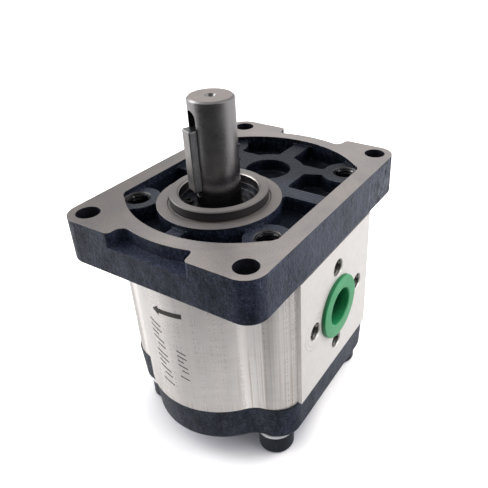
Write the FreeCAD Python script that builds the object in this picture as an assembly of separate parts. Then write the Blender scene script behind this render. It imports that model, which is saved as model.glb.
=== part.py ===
import FreeCAD, Part
import math
import os

# External gear pump, one STEP file for each piece as it comes apart on a bench.
# Frame: origin on the drive-shaft axis at the mounting face of the front cover,
# +Z along the drive shaft out of the mounting face, +Y from the drive gear to
# the driven gear, +X towards the inlet port. Millimetres.
# "Front" pieces lie towards +Z, "rear" pieces towards -Z.

Vec = FreeCAD.Vector
ORIGIN = Vec(0, 0, 0)
X_AXIS = Vec(1, 0, 0)
Y_AXIS = Vec(0, 1, 0)
Z_AXIS = Vec(0, 0, 1)

# ---------------- driving dimensions ----------------
# gears
MODULE = 3.0
TEETH = 12
PRESSURE_ANGLE = 25.0
PITCH_R = MODULE * TEETH / 2.0
GEAR_TIP_R = PITCH_R + MODULE
GEAR_ROOT_R = PITCH_R - 1.25 * MODULE
TOOTH_THICK = 4.512       # on the pitch circle, 0.1 per flank of backlash
GEAR_W = 13.9
GEAR_MID_Z = -50.25
GEAR_TOP_Z = GEAR_MID_Z + GEAR_W / 2
GEAR_BOT_Z = GEAR_MID_Z - GEAR_W / 2
GEAR_CC = 2 * PITCH_R     # distance between the two gear axes
Y_MID = GEAR_CC / 2.0     # pump centre line between the gears

# shafts
SHAFT_R = 9.0
SHAFT_TOP_Z = 42.5
SHAFT_CHAMFER = 0.7
JOURNAL_REAR_Z = -79.5
JOURNAL_FRONT_Z = -21.0
JOURNAL_CHAMFER = 1.0
RELIEF_W = 1.6            # run-out grooves beside the gear faces
RELIEF_DEPTH = 0.3
CENTRE_MOUTH_R = 2.12     # centre drillings in the shaft ends
CENTRE_DRILL_R = 1.0
CENTRE_CONE_DEPTH = 2.0
CENTRE_DRILL_DEPTH = 4.5

# key and keyway
KEY_W = 6.0
KEY_H = 6.0
KEY_LEN = 25.0
KEY_TOP_Z = 31.3
KEY_OUT_R = 11.5
KEY_FLOOR_R = KEY_OUT_R - KEY_H
KEY_CHAMFER = 0.3
KEY_DIR = -115.0          # direction of the keyway about the shaft, degrees
KEYWAY_TOP_Z = 38.4
KEYWAY_BOT_Z = 3.3
KEYWAY_CUT_R = 14.0       # reach of the keyway cutter, outside the shaft

# front cover
FLANGE_X = 91.0
FLANGE_Y = 122.0
FLANGE_T = 19.0
FLANGE_CORNER_R = 8.5
FLANGE_EDGE_R = 0.9
MOUNT_X = 74.5
MOUNT_Y = 106.0
MOUNT_HOLE_R = 4.75
PILOT_R = 20.0
PILOT_H = 4.2
PILOT_CHAMFER = 0.4
ANNULUS_R = 25.3          # full-height ring round the pilot
POCKET_R = 50.2
POCKET_HALF_X = 37.5
RIB_Z = -2.0
CELL_Z = -9.0
CELL_CORNER_R = 1.6
CELL_FLOOR_R = 1.2
WELL_R = 10.2             # round well in line with the driven gear
WELL_Z = CELL_Z + 1.0
SEAL_BORE_R = 16.0
SEAL_BORE_CHAMFER = 0.8
SEAL_SEAT_Z = -10.2
SEAL_THROUGH_R = 10.5
CLIP_TOP_Z = -1.7         # retaining-ring groove
CLIP_BOT_Z = -3.0

# cover screws and washers
SCREW_X = 32.0
SCREW_DY = 31.8
SCREW_R = 4.95
SCREW_CLEAR_R = 5.3
TAPPED_R = 5.0
TAPPED_CHAMFER = 0.5
SCREW_TIP_Z = -8.0
SCREW_TIP_CHAMFER = 1.0
HEAD_R = 8.0
HEAD_H = 10.0
HEAD_CHAMFER = 0.8
SOCKET_ACROSS_FLATS = 8.0
SOCKET_DEPTH = 5.0
WASHER_R = 8.6
WASHER_T = 1.7
WASHER_CHAMFER = 0.25

# dowels
DOWEL_R = 3.0
DOWEL_HOLE_DEPTH = 6.5
DOWEL_HALF_LEN = 6.2
DOWEL_CHAMFER = 0.5
DOWEL_YS = (-31.5, GEAR_CC + 31.5)

# pump body
BODY_TOP_Z = -FLANGE_T
BODY_BOT_Z = -81.5
BODY_END_R = 35.1         # round ends, struck from END_Y
END_Y = -4.1
PAD_X = 45.5
PAD_HALF_Y = 31.6         # half width of the milled port faces
BORE_R = 21.05
LOBE_X = 31.0             # corner lobes round the cover screws
LOBE_Y = -11.0
LOBE_R = 12.8
WAIST_R = 12.0            # hollow between a round end and a lobe

# ports, both opening in the milled faces at PAD_X
PORT_Z = GEAR_MID_Z
INLET_R = 10.0
OUTLET_R = 7.5
PORT_START_X = 6.0
PORT_CHAMFER = 0.6
PORT_SCREW_DEPTH = 13.0
PORT_SCREW_CHAMFER = 0.25
# side along X, bore radius, screw circle radius, screw hole radius, drill point length
PORTS = (
    (1, INLET_R, 20.0, 4.0, 2.0),
    (-1, OUTLET_R, 15.0, 3.0, 1.5),
)

# racetrack seal grooves in both end faces of the body
TRACK_R = 23.6
TRACK_GROOVE_W = 2.2
TRACK_GROOVE_DEPTH = 1.9
CORD_R = 0.94
CORD_INSET = 0.95         # cord centre below the end face

# rear cover
COVER_BOT_Z = -100.0
COVER_X = 44.4            # half width at the body joint
COVER_END_R = 34.7
COVER_LOBE_R = 12.4
COVER_LOBE_X = COVER_X - COVER_LOBE_R
COVER_LOBE_Y = LOBE_Y - 0.4
COVER_DRAFT = 1.1         # how far the outline draws in over the cover's height
COVER_EDGE_R = 2.0        # rounding of the back edge
COVER_WAIST_R = 12.0

# bearing blocks, bushes and block seals
BLOCK_GAP = 0.05          # between block and gear face
BLOCK_R = GEAR_TIP_R
BUSH_IN_R = 9.03
BUSH_OUT_R = 10.5
BUSH_CHAMFER = 0.5
BUSH_GEAR_INSET = 0.4     # bush below the gear face of the block
BUSH_OUTER_INSET = 1.0    # bush below the outer face of the block
RELIEF_POCKET_DEPTH = 1.2
RELIEF_POCKET_HALF_Y = 3.4
RELIEF_POCKET_X = (2.6, 9.5)
BLOCK_TRACK_R = 14.6      # centre line of the 3-shaped seal run
BLOCK_TRACK_X = -5.0      # its straight middle part
BLOCK_GROOVE_W = 2.3
BLOCK_GROOVE_DEPTH = 2.5
BLOCK_SEAL_W = 2.1
BACKUP_T = 0.8

os.makedirs("parts", exist_ok=True)


# ---------------- helpers ----------------
def save(name, shape):
    shape.exportStep("parts/" + name + ".step")


def cyl(x, y, r, z0, z1):
    return Part.makeCylinder(r, z1 - z0, Vec(x, y, z0), Z_AXIS)


def cone(x, y, r0, r1, z0, z1):
    return Part.makeCone(r0, r1, z1 - z0, Vec(x, y, z0), Z_AXIS)


def tube(y, inner_r, outer_r, z0, z1):
    """Plain ring about the axis at (0, y)."""
    return cyl(0, y, outer_r, z0, z1).cut(cyl(0, y, inner_r, z0, z1))


def box(x0, y0, z0, x1, y1, z1):
    return Part.makeBox(x1 - x0, y1 - y0, z1 - z0, Vec(x0, y0, z0))


def x_cyl(y, z, r, x0, x1):
    """Cylinder along X; x0 and x1 in either order."""
    return Part.makeCylinder(r, abs(x1 - x0), Vec(min(x0, x1), y, z), X_AXIS)


def x_cone(y, z, r_at_x0, r_at_x1, x0, x1):
    heading = Vec(1 if x1 > x0 else -1, 0, 0)
    return Part.makeCone(r_at_x0, r_at_x1, abs(x1 - x0), Vec(x0, y, z), heading)


def disc(x, y, r):
    return Part.Face(Part.Wire(Part.makeCircle(r, Vec(x, y, 0))))


def polygon_face(points):
    return Part.Face(Part.makePolygon(points + [points[0]]))


def flat_polygon(points):
    return polygon_face([Vec(x, y, 0) for x, y in points])


def rect(x0, y0, x1, y1):
    return flat_polygon([(x0, y0), (x1, y0), (x1, y1), (x0, y1)])


def band(x0, y0, x1, y1, half):
    """Rectangle of half width 'half' along the line between two points."""
    dx, dy = x1 - x0, y1 - y0
    length = math.hypot(dx, dy)
    nx, ny = -dy / length * half, dx / length * half
    return flat_polygon([(x0 + nx, y0 + ny), (x1 + nx, y1 + ny),
                         (x1 - nx, y1 - ny), (x0 - nx, y0 - ny)])


def line_or_arc(points):
    """Edge through two points (a line) or three (an arc)."""
    if len(points) == 2:
        return Part.makeLine(*points)
    return Part.Arc(*points).toShape()


def spline(points):
    curve = Part.BSplineCurve()
    curve.interpolate(points)
    return curve.toShape()


def prism(face, z0, z1):
    base = face.copy()
    base.translate(Vec(0, 0, z0))
    return base.extrude(Vec(0, 0, z1 - z0))


def solid_of(shape):
    merged = shape.removeSplitter()
    return merged.Solids[0] if len(merged.Solids) == 1 else merged


def plate(faces, z0, z1):
    """Prisms of all the faces, fused."""
    prisms = [prism(face, z0, z1) for face in faces]
    return solid_of(prisms[0].multiFuse(prisms[1:]))


def mirror_x(shape):
    return shape.mirror(ORIGIN, X_AXIS)


def is_vertical(edge):
    bounds = edge.BoundBox
    return bounds.XLength < 1e-4 and bounds.YLength < 1e-4 and bounds.ZLength > 0.5


def floor_edges(shape, z):
    """Edges of the underside of a shape whose lowest face is at z."""
    return [e for e in shape.Edges if abs(e.BoundBox.ZMax - z) < 1e-3]


def flat_edges(shape):
    return [e for e in shape.Edges if e.BoundBox.ZLength < 1e-3]


def try_fillet(shape, r, edges):
    """Fillet all the edges at once, or else each one that will take it."""
    if not edges:
        return shape
    # guards against a cell outline whose edges can't all be filleted together
    try:
        out = shape.makeFillet(r, edges)
        if out.isValid() and out.Volume > 0:
            return out
    except Exception:
        pass
    out = shape
    for edge in edges:
        # guards against a single edge too short for the radius; it stays sharp
        try:
            middle = edge.CenterOfMass
            same = [e for e in out.Edges if (e.CenterOfMass - middle).Length < 0.02
                    and abs(e.Length - edge.Length) < 0.05]
            if not same:
                continue
            rounded = out.makeFillet(r, same[:1])
            if rounded.isValid() and rounded.Volume > 0:
                out = rounded
        except Exception:
            continue
    return out


def four_corners(half_x, half_y):
    """Points placed evenly about the pump centre."""
    return [(sx * half_x, Y_MID + sy * half_y) for sx in (-1, 1) for sy in (-1, 1)]


SCREW_CENTRES = four_corners(SCREW_X, SCREW_DY)


# ---------------- gears and shafts ----------------
def gear_face(phase_deg):
    """Closed involute gear outline about (0, 0), a tooth centred on phase_deg."""
    pressure = math.radians(PRESSURE_ANGLE)
    base_r = PITCH_R * math.cos(pressure)
    base_half_angle = TOOTH_THICK / (2 * PITCH_R) + math.tan(pressure) - pressure

    def half_angle(r):
        a = math.acos(min(1.0, base_r / r))
        return base_half_angle - (math.tan(a) - a)

    def at(r, angle):
        return Vec(r * math.cos(angle), r * math.sin(angle), 0)

    # flank stations, closer together near the base circle
    radii = [base_r + (GEAR_TIP_R - base_r) * (k / 9.0) ** 1.6 for k in range(10)]
    edges = []
    pitch = 2 * math.pi / TEETH
    for i in range(TEETH):
        centre = math.radians(phase_deg) + i * pitch
        rising = [at(r, centre - half_angle(r)) for r in radii]
        falling = [at(r, centre + half_angle(r)) for r in reversed(radii)]
        next_tooth = at(base_r, centre + pitch - half_angle(base_r))
        edges += [
            spline(rising),
            line_or_arc([rising[-1], at(GEAR_TIP_R, centre), falling[0]]),
            spline(falling),
            line_or_arc([falling[-1], at(GEAR_ROOT_R, centre + pitch / 2), next_tooth])]
    return Part.Face(Part.Wire(edges))


def cut_relief_grooves(shaft, y):
    for z0, z1 in ((GEAR_TOP_Z, GEAR_TOP_Z + RELIEF_W), (GEAR_BOT_Z - RELIEF_W, GEAR_BOT_Z)):
        shaft = shaft.cut(tube(y, SHAFT_R - RELIEF_DEPTH, SHAFT_R + 1, z0, z1))
    return shaft


def centre_cone(y, z, heading):
    return Part.makeCone(CENTRE_MOUTH_R, CENTRE_DRILL_R, CENTRE_CONE_DEPTH,
                         Vec(0, y, z), Vec(0, 0, heading))


def rear_chamfer_cone(y):
    return cone(0, y, SHAFT_R - JOURNAL_CHAMFER, SHAFT_R,
                JOURNAL_REAR_Z, JOURNAL_REAR_Z + JOURNAL_CHAMFER)


def keyway_cutter():
    """Slot with both ends rounded, turned to the key direction."""
    end_r = KEY_W / 2
    low_z, high_z = KEYWAY_BOT_Z + end_r, KEYWAY_TOP_Z - end_r
    slot = box(KEY_FLOOR_R, -end_r, low_z, KEYWAY_CUT_R, end_r, high_z)
    for z in (low_z, high_z):
        slot = slot.fuse(x_cyl(0, z, end_r, KEY_FLOOR_R, KEYWAY_CUT_R))
    slot.rotate(ORIGIN, Z_AXIS, KEY_DIR)
    return slot


def drive_gear_shaft():
    overlap = 0.5             # shaft ends run this far into the gear
    chamfer_z = SHAFT_TOP_Z - SHAFT_CHAMFER
    shaft = cyl(0, 0, SHAFT_R, GEAR_TOP_Z - overlap, chamfer_z)
    shaft = shaft.fuse(cone(0, 0, SHAFT_R, SHAFT_R - SHAFT_CHAMFER, chamfer_z, SHAFT_TOP_Z))
    rear = cyl(0, 0, SHAFT_R, JOURNAL_REAR_Z + JOURNAL_CHAMFER, GEAR_BOT_Z + overlap)
    rear = rear.fuse(rear_chamfer_cone(0))
    gear = prism(gear_face(90.0), GEAR_BOT_Z, GEAR_TOP_Z)
    drive = cut_relief_grooves(shaft.multiFuse([rear, gear]), 0)
    drive = drive.cut(keyway_cutter())
    for z, heading in ((SHAFT_TOP_Z, -1), (JOURNAL_REAR_Z, 1)):
        drive = drive.cut(centre_cone(0, z, heading))
        drive = drive.cut(Part.makeCylinder(CENTRE_DRILL_R, CENTRE_DRILL_DEPTH,
                                            Vec(0, 0, z), Vec(0, 0, heading)))
    return drive


def shaft_key():
    key = box(KEY_FLOOR_R, -KEY_W / 2, KEY_TOP_Z - KEY_LEN, KEY_OUT_R, KEY_W / 2, KEY_TOP_Z)
    key = key.makeChamfer(KEY_CHAMFER, key.Edges)
    key.rotate(ORIGIN, Z_AXIS, KEY_DIR)
    return key


def driven_gear_shaft():
    front_z = JOURNAL_FRONT_Z - JOURNAL_CHAMFER
    shaft = cyl(0, GEAR_CC, SHAFT_R, JOURNAL_REAR_Z + JOURNAL_CHAMFER, front_z)
    shaft = shaft.multiFuse([
        rear_chamfer_cone(GEAR_CC),
        cone(0, GEAR_CC, SHAFT_R, SHAFT_R - JOURNAL_CHAMFER, front_z, JOURNAL_FRONT_Z)])
    # turned half a tooth so that it meshes with the drive gear
    gear = prism(gear_face(-90.0 + 180.0 / TEETH), GEAR_BOT_Z, GEAR_TOP_Z)
    gear.translate(Vec(0, GEAR_CC, 0))
    driven = cut_relief_grooves(shaft.fuse(gear), GEAR_CC)
    for z, heading in ((JOURNAL_FRONT_Z, -1), (JOURNAL_REAR_Z, 1)):
        driven = driven.cut(centre_cone(GEAR_CC, z, heading))
    return driven


save("drive_gear_shaft", solid_of(drive_gear_shaft()))
save("shaft_key", solid_of(shaft_key()))
save("driven_gear_shaft", solid_of(driven_gear_shaft()))


# ---------------- front cover (cast iron flange) ----------------
HUB = disc(0, 0, ANNULUS_R)
POCKET = disc(0, Y_MID, POCKET_R).common(
    rect(-POCKET_HALF_X, Y_MID - 60, POCKET_HALF_X, Y_MID + 60)).Faces[0]

MIN_CELL_AREA = 18.0      # smaller scraps of a cell outline stay solid
WELL_WALL_R = 16.4
SCREW_BOSS_R = 9.4

# edge recess on the -Y side: x, distance in from the outer edge
NOTCH_LEFT = [(-20.4, 0.0), (-19.1, 0.45), (-18.4, 1.7), (-18.3, 3.4), (-17.5, 5.0), (-16.2, 6.0)]
NOTCH_RIGHT = [(16.2, 4.9), (16.7, 2.6), (17.1, 1.0), (17.9, 0.15), (18.8, 0.0)]
NOTCH_R = 56.6            # inner wall, struck from the pump centre
NOTCH_ARC_X = 14.3
NOTCH_Z = -5.6
NOTCH_FALL = 1.3          # drop of the sloping floor
NOTCH_SLOPE_Y = (-36.0, -47.0)
NOTCH_OVERCUT = 3.0


def cell_prisms():
    """Deep cells between the ribs, on both sides of the centre rib."""
    far_y, near_y = Y_MID + SCREW_DY, Y_MID - SCREW_DY
    far_boss = disc(SCREW_X, far_y, SCREW_BOSS_R)
    far_boss_wide = disc(SCREW_X + 0.6, far_y, SCREW_BOSS_R + 1.6)
    near_boss = disc(SCREW_X, near_y, SCREW_BOSS_R)
    well_wall = disc(0, GEAR_CC, WELL_WALL_R)
    side_wall = disc(0, GEAR_CC, WELL_WALL_R + 0.5)
    far_arm = band(0, 35.0, 32, 48.8, 3.0)
    near_arm = band(12, -5.2, 34, -14.7, 4.0)

    far = POCKET.common(rect(3.9, 30, 60, 90)).cut(well_wall).cut(far_arm)
    far = far.cut(far_boss).cut(rect(10, 20, 60, 47.2))
    side = POCKET.common(rect(16.9, 24.6, 60, 47)).cut(far_arm)
    side = side.cut(far_boss_wide).cut(side_wall)
    middle = POCKET.common(rect(10, -12, 60, 17.1)).cut(HUB).cut(near_boss).cut(near_arm)
    near = POCKET.common(rect(3.0, -60, 60, -4)).cut(HUB).cut(near_boss).cut(near_arm)

    # outline, then the greatest x and least y a cell's centre may have
    regions = ((far, math.inf, -math.inf), (side, math.inf, -math.inf),
               (middle, math.inf, -9), (near, 30, -math.inf))
    prisms = []
    for region, max_x, min_y in regions:
        for face in [f for f in region.Faces if f.Area > MIN_CELL_AREA]:
            centre = face.CenterOfMass
            if centre.x > max_x or centre.y < min_y:
                continue
            for outline in (face, mirror_x(face)):
                cell = prism(outline, CELL_Z, 1.0)
                corners = [e for e in cell.Edges if is_vertical(e)]
                cell = try_fillet(cell, CELL_CORNER_R, corners)
                cell = try_fillet(cell, CELL_FLOOR_R, floor_edges(cell, CELL_Z))
                prisms.append(cell)
    return prisms


def notch():
    """Edge recess on the -Y side, its floor falling towards the outer edge."""
    outer_y = Y_MID - FLANGE_Y / 2
    arc_y = Y_MID - math.sqrt(NOTCH_R ** 2 - NOTCH_ARC_X ** 2)
    arc_left, arc_right = Vec(-NOTCH_ARC_X, arc_y, 0), Vec(NOTCH_ARC_X, arc_y, 0)
    left = [Vec(x, outer_y + inset, 0) for x, inset in NOTCH_LEFT] + [arc_left]
    right = [arc_right, Vec(15.5, arc_y - 0.15, 0)]
    right += [Vec(x, outer_y + inset, 0) for x, inset in NOTCH_RIGHT]
    out_right = right[-1] - Vec(0, NOTCH_OVERCUT, 0)
    out_left = left[0] - Vec(0, NOTCH_OVERCUT, 0)
    outline = Part.Face(Part.Wire([
        spline(left),
        line_or_arc([arc_left, Vec(0, Y_MID - NOTCH_R, 0), arc_right]),
        spline(right),
        Part.makeLine(right[-1], out_right),
        Part.makeLine(out_right, out_left),
        Part.makeLine(out_left, left[0])]))
    recess = prism(outline, NOTCH_Z, 1.0)

    top_z, low_z = NOTCH_Z + 0.01, NOTCH_Z - NOTCH_FALL
    inner, outer = NOTCH_SLOPE_Y
    wedge = polygon_face([Vec(-30, inner, top_z), Vec(-30, outer, top_z),
                          Vec(-30, outer, low_z)]).extrude(Vec(60, 0, 0))
    return recess.fuse(prism(outline, low_z, top_z).common(wedge))


def front_cover():
    half_x, half_y = FLANGE_X / 2, FLANGE_Y / 2
    cover = box(-half_x, Y_MID - half_y, -FLANGE_T, half_x, Y_MID + half_y, 0)
    cover = cover.makeFillet(FLANGE_CORNER_R, [e for e in cover.Edges if is_vertical(e)])
    cover = cover.makeFillet(FLANGE_EDGE_R, floor_edges(cover, -FLANGE_T))

    # shallow pocket down to the rib tops, then the cells and the well
    cover = cover.cut(prism(POCKET.cut(HUB), RIB_Z, 1.0))
    well = cyl(0, GEAR_CC, WELL_R, WELL_Z, 1.0)
    well = well.makeFillet(CELL_FLOOR_R, floor_edges(well, WELL_Z))
    for cutter in cell_prisms() + [well]:
        cover = cover.cut(cutter)

    # pilot spigot with a fine groove at its foot
    rim_r, rim_z = PILOT_R - PILOT_CHAMFER, PILOT_H - PILOT_CHAMFER
    pilot = cyl(0, 0, rim_r, -1, PILOT_H)
    pilot = pilot.fuse(cone(0, 0, PILOT_R, rim_r, rim_z, PILOT_H))
    cover = cover.fuse(pilot.fuse(cyl(0, 0, PILOT_R, -1, rim_z)))
    cover = cover.cut(tube(0, PILOT_R - 0.25, PILOT_R + 0.9, -0.35, 0.0))

    # seal bore, shaft opening and retaining-ring groove
    cover = cover.cut(cyl(0, 0, SEAL_BORE_R, SEAL_SEAT_Z, PILOT_H + 1))
    cover = cover.cut(cone(0, 0, SEAL_BORE_R, SEAL_BORE_R + SEAL_BORE_CHAMFER,
                           PILOT_H - SEAL_BORE_CHAMFER, PILOT_H))
    cover = cover.cut(cyl(0, 0, SEAL_THROUGH_R, -FLANGE_T - 1, 0))
    cover = cover.cut(tube(0, SEAL_BORE_R - 0.5, SEAL_BORE_R + 0.8, CLIP_BOT_Z, CLIP_TOP_Z))

    for x, y in four_corners(MOUNT_X / 2, MOUNT_Y / 2):
        cover = cover.cut(cyl(x, y, MOUNT_HOLE_R, -FLANGE_T - 1, 1))
    mouth_r = TAPPED_R + TAPPED_CHAMFER
    for x, y in SCREW_CENTRES:
        cover = cover.cut(cyl(x, y, TAPPED_R, -FLANGE_T - 1, 1))
        cover = cover.cut(cone(x, y, TAPPED_R, mouth_r, RIB_Z - TAPPED_CHAMFER, RIB_Z))
        cover = cover.cut(cyl(x, y, mouth_r, RIB_Z, 0.5))

    # edge recess at each end, the second turned half way round
    near_notch = notch()
    far_notch = near_notch.copy()
    far_notch.rotate(Vec(0, Y_MID, 0), Z_AXIS, 180)
    cover = cover.cut(near_notch).cut(far_notch)

    for y in DOWEL_YS:
        cover = cover.cut(cyl(0, y, DOWEL_R, -FLANGE_T - 1, -FLANGE_T + DOWEL_HOLE_DEPTH))
    return cover


save("front_cover", solid_of(front_cover()))


# ---------------- pump body ----------------
def waist_centre(end_r, lobe_x, lobe_y, lobe_r, waist_r):
    """Centre of the hollow arc that touches the end arc and the lobe arc."""
    d = math.hypot(lobe_x, lobe_y - END_Y)
    ux, uy = lobe_x / d, (lobe_y - END_Y) / d
    along = ((end_r + waist_r) ** 2 - (lobe_r + waist_r) ** 2 + d * d) / (2 * d)
    across = math.sqrt((end_r + waist_r) ** 2 - along * along)
    return along * ux + across * uy, END_Y + along * uy - across * ux


def toward(x, y, r, target_x, target_y):
    """Point of the circle (x, y, r) on the line towards the target."""
    d = math.hypot(target_x - x, target_y - y)
    return x + r * (target_x - x) / d, y + r * (target_y - y) / d


def arc_middle(x, y, r, start, end):
    return toward(x, y, r, (start[0] + end[0]) / 2.0, (start[1] + end[1]) / 2.0)


def body_outline():
    """Round end, hollow, lobe and port face, repeated in the four quarters."""
    waist_x, waist_y = waist_centre(BODY_END_R, LOBE_X, LOBE_Y, LOBE_R, WAIST_R)
    bottom = (0, END_Y - BODY_END_R)
    end_touch = toward(0, END_Y, BODY_END_R, waist_x, waist_y)
    lobe_touch = toward(LOBE_X, LOBE_Y, LOBE_R, waist_x, waist_y)
    pad_y = Y_MID - PAD_HALF_Y
    corner = (LOBE_X + math.sqrt(LOBE_R ** 2 - (pad_y - LOBE_Y) ** 2), pad_y)
    quarter = [
        (bottom, arc_middle(0, END_Y, BODY_END_R, bottom, end_touch), end_touch),
        (end_touch, arc_middle(waist_x, waist_y, WAIST_R, end_touch, lobe_touch), lobe_touch),
        (lobe_touch, arc_middle(LOBE_X, LOBE_Y, LOBE_R, lobe_touch, corner), corner),
        (corner, (PAD_X, pad_y)),
        ((PAD_X, pad_y), (PAD_X, Y_MID))]
    edges = []
    for sx, sy in ((1, 1), (1, -1), (-1, -1), (-1, 1)):
        step = 1 if sx * sy > 0 else -1      # mirrored quarters run backwards
        for points in quarter[::step]:
            placed = [Vec(sx * x, Y_MID + sy * (y - Y_MID), 0) for x, y in points]
            edges.append(line_or_arc(placed[::step]))
    return Part.Face(Part.Wire(Part.__sortEdges__(edges)))


def track(r, z0, z1):
    return plate([disc(0, 0, r), disc(0, GEAR_CC, r), rect(-r, 0, r, GEAR_CC)], z0, z1)


def cut_ports(body):
    for side, bore_r, _, _, _ in PORTS:
        body = body.cut(x_cyl(Y_MID, PORT_Z, bore_r, side * PORT_START_X, side * (PAD_X + 1)))
    for side, bore_r, _, _, _ in PORTS:
        body = body.cut(x_cone(Y_MID, PORT_Z, bore_r + PORT_CHAMFER, bore_r,
                               side * PAD_X, side * (PAD_X - PORT_CHAMFER)))
    floor_x = PAD_X - PORT_SCREW_DEPTH
    for k in range(4):
        angle = math.radians(90 * k)
        for side, _, circle_r, r, point_len in PORTS:
            y = Y_MID + circle_r * math.cos(angle)
            z = PORT_Z + circle_r * math.sin(angle)
            body = body.cut(x_cyl(y, z, r, side * floor_x, side * (PAD_X + 1)))
            body = body.cut(x_cone(y, z, r + PORT_SCREW_CHAMFER, r,
                                   side * PAD_X, side * (PAD_X - PORT_SCREW_CHAMFER)))
            body = body.cut(x_cone(y, z, r, 0.2, side * floor_x, side * (floor_x - point_len)))
    return body


def pump_body():
    below, above = BODY_BOT_Z - 1, BODY_TOP_Z + 1
    body = prism(body_outline(), BODY_BOT_Z, BODY_TOP_Z)
    for y in (0, GEAR_CC):
        body = body.cut(cyl(0, y, BORE_R, below, above))
    for x, y in SCREW_CENTRES:
        body = body.cut(cyl(x, y, SCREW_CLEAR_R, below, above))
    body = cut_ports(body)
    half_w = TRACK_GROOVE_W / 2
    for z0, z1 in ((BODY_TOP_Z - TRACK_GROOVE_DEPTH, above),
                   (below, BODY_BOT_Z + TRACK_GROOVE_DEPTH)):
        island = track(TRACK_R - half_w, z0 - 1, z1 + 1)
        body = body.cut(track(TRACK_R + half_w, z0, z1).cut(island))
    for y in DOWEL_YS:
        body = body.cut(cyl(0, y, DOWEL_R, BODY_TOP_Z - DOWEL_HOLE_DEPTH, above))
        body = body.cut(cyl(0, y, DOWEL_R, below, BODY_BOT_Z + DOWEL_HOLE_DEPTH))
    return body


def body_seal(z):
    """Round cord along the racetrack."""
    r = TRACK_R
    path = Part.Wire([
        line_or_arc([Vec(-r, 0, z), Vec(0, -r, z), Vec(r, 0, z)]),
        line_or_arc([Vec(r, 0, z), Vec(r, GEAR_CC, z)]),
        line_or_arc([Vec(r, GEAR_CC, z), Vec(0, GEAR_CC + r, z), Vec(-r, GEAR_CC, z)]),
        line_or_arc([Vec(-r, GEAR_CC, z), Vec(-r, 0, z)])])
    section = Part.Wire(Part.makeCircle(CORD_R, Vec(-r, 0, z), Y_AXIS))
    return path.makePipeShell([section], True, False)


save("pump_body", solid_of(pump_body()))
save("front_body_seal", solid_of(body_seal(BODY_TOP_Z - CORD_INSET)))
save("rear_body_seal", solid_of(body_seal(BODY_BOT_Z + CORD_INSET)))


# ---------------- rear cover ----------------
def wall_section(r, far, place, sign=1.0):
    """Half section of the drafted wall: from radius r at the joint, drawn in towards
    'far' over the height, with a rounded back edge. sign -1 is the hollow side."""
    z0, z1 = COVER_BOT_Z, BODY_BOT_Z
    edge_z = z0 + COVER_EDGE_R
    draw_in = COVER_DRAFT * (z1 - edge_z) / (z1 - z0)
    diagonal = math.sqrt(0.5) * COVER_EDGE_R
    edge_r = r - sign * draw_in
    middle = (edge_r - sign * (COVER_EDGE_R - diagonal), edge_z - diagonal)
    end = (edge_r - sign * COVER_EDGE_R, z0)
    runs = [((far, z1), (r, z1)), ((r, z1), (edge_r, edge_z)), ((edge_r, edge_z), middle, end),
            (end, (far, z0)), ((far, z0), (far, z1))]
    edges = [line_or_arc([place(*point) for point in run]) for run in runs]
    return Part.Face(Part.Wire(edges))


def sector(x, y, r, far, start_deg, end_deg, sign=1.0):
    """The wall section turned about (x, y) between two bearings."""
    section = wall_section(r, far, lambda u, z: Vec(u, 0, z), sign)
    turned = section.revolve(ORIGIN, Z_AXIS, end_deg - start_deg)
    turned.rotate(ORIGIN, Z_AXIS, start_deg)
    turned.translate(Vec(x, y, 0))
    return turned


def bearing_deg(x0, y0, x1, y1):
    return math.degrees(math.atan2(y1 - y0, x1 - x0))


def cover_quarter():
    """Overlapping solids that make up the +X, -Y quarter."""
    lobe_x, lobe_y = COVER_LOBE_X, COVER_LOBE_Y
    waist_x, waist_y = waist_centre(COVER_END_R, lobe_x, lobe_y, COVER_LOBE_R, COVER_WAIST_R)
    end_deg = bearing_deg(0, END_Y, waist_x, waist_y)
    lobe_deg = bearing_deg(lobe_x, lobe_y, waist_x, waist_y)
    to_lobe = bearing_deg(waist_x, waist_y, lobe_x, lobe_y)
    to_end = bearing_deg(waist_x, waist_y, 0, END_Y)
    core = flat_polygon([(0, END_Y), (waist_x, waist_y), (lobe_x, lobe_y),
                         (lobe_x, Y_MID), (0, Y_MID)])
    hollow = cyl(waist_x, waist_y, COVER_WAIST_R + 5.0, COVER_BOT_Z - 1, BODY_BOT_Z + 1)
    side = wall_section(COVER_X - lobe_x, 0.0, lambda u, z: Vec(lobe_x + u, lobe_y, z))
    return [
        sector(0, END_Y, COVER_END_R, 0.0, -90.0, end_deg),
        sector(lobe_x, lobe_y, COVER_LOBE_R, 0.0, lobe_deg, 0.0),
        sector(waist_x, waist_y, COVER_WAIST_R, COVER_WAIST_R + 6.0,
               min(to_lobe, to_end) % 360, max(to_lobe, to_end) % 360, -1.0),
        prism(core, COVER_BOT_Z, BODY_BOT_Z).cut(hollow),
        side.extrude(Vec(0, Y_MID - lobe_y, 0))]


def rear_cover():
    pieces = []
    for piece in cover_quarter():
        across = mirror_x(piece)
        pieces += [piece, across]
        pieces += [s.mirror(Vec(0, Y_MID, 0), Y_AXIS) for s in (piece, across)]
    cover = pieces[0].multiFuse(pieces[1:]).removeSplitter()
    for x, y in SCREW_CENTRES:
        cover = cover.cut(cyl(x, y, SCREW_CLEAR_R, COVER_BOT_Z - 1, BODY_BOT_Z + 1))
    for y in DOWEL_YS:
        cover = cover.cut(cyl(0, y, DOWEL_R, BODY_BOT_Z - DOWEL_HOLE_DEPTH, BODY_BOT_Z + 1))
    return cover


save("rear_cover", solid_of(rear_cover()))


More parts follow.
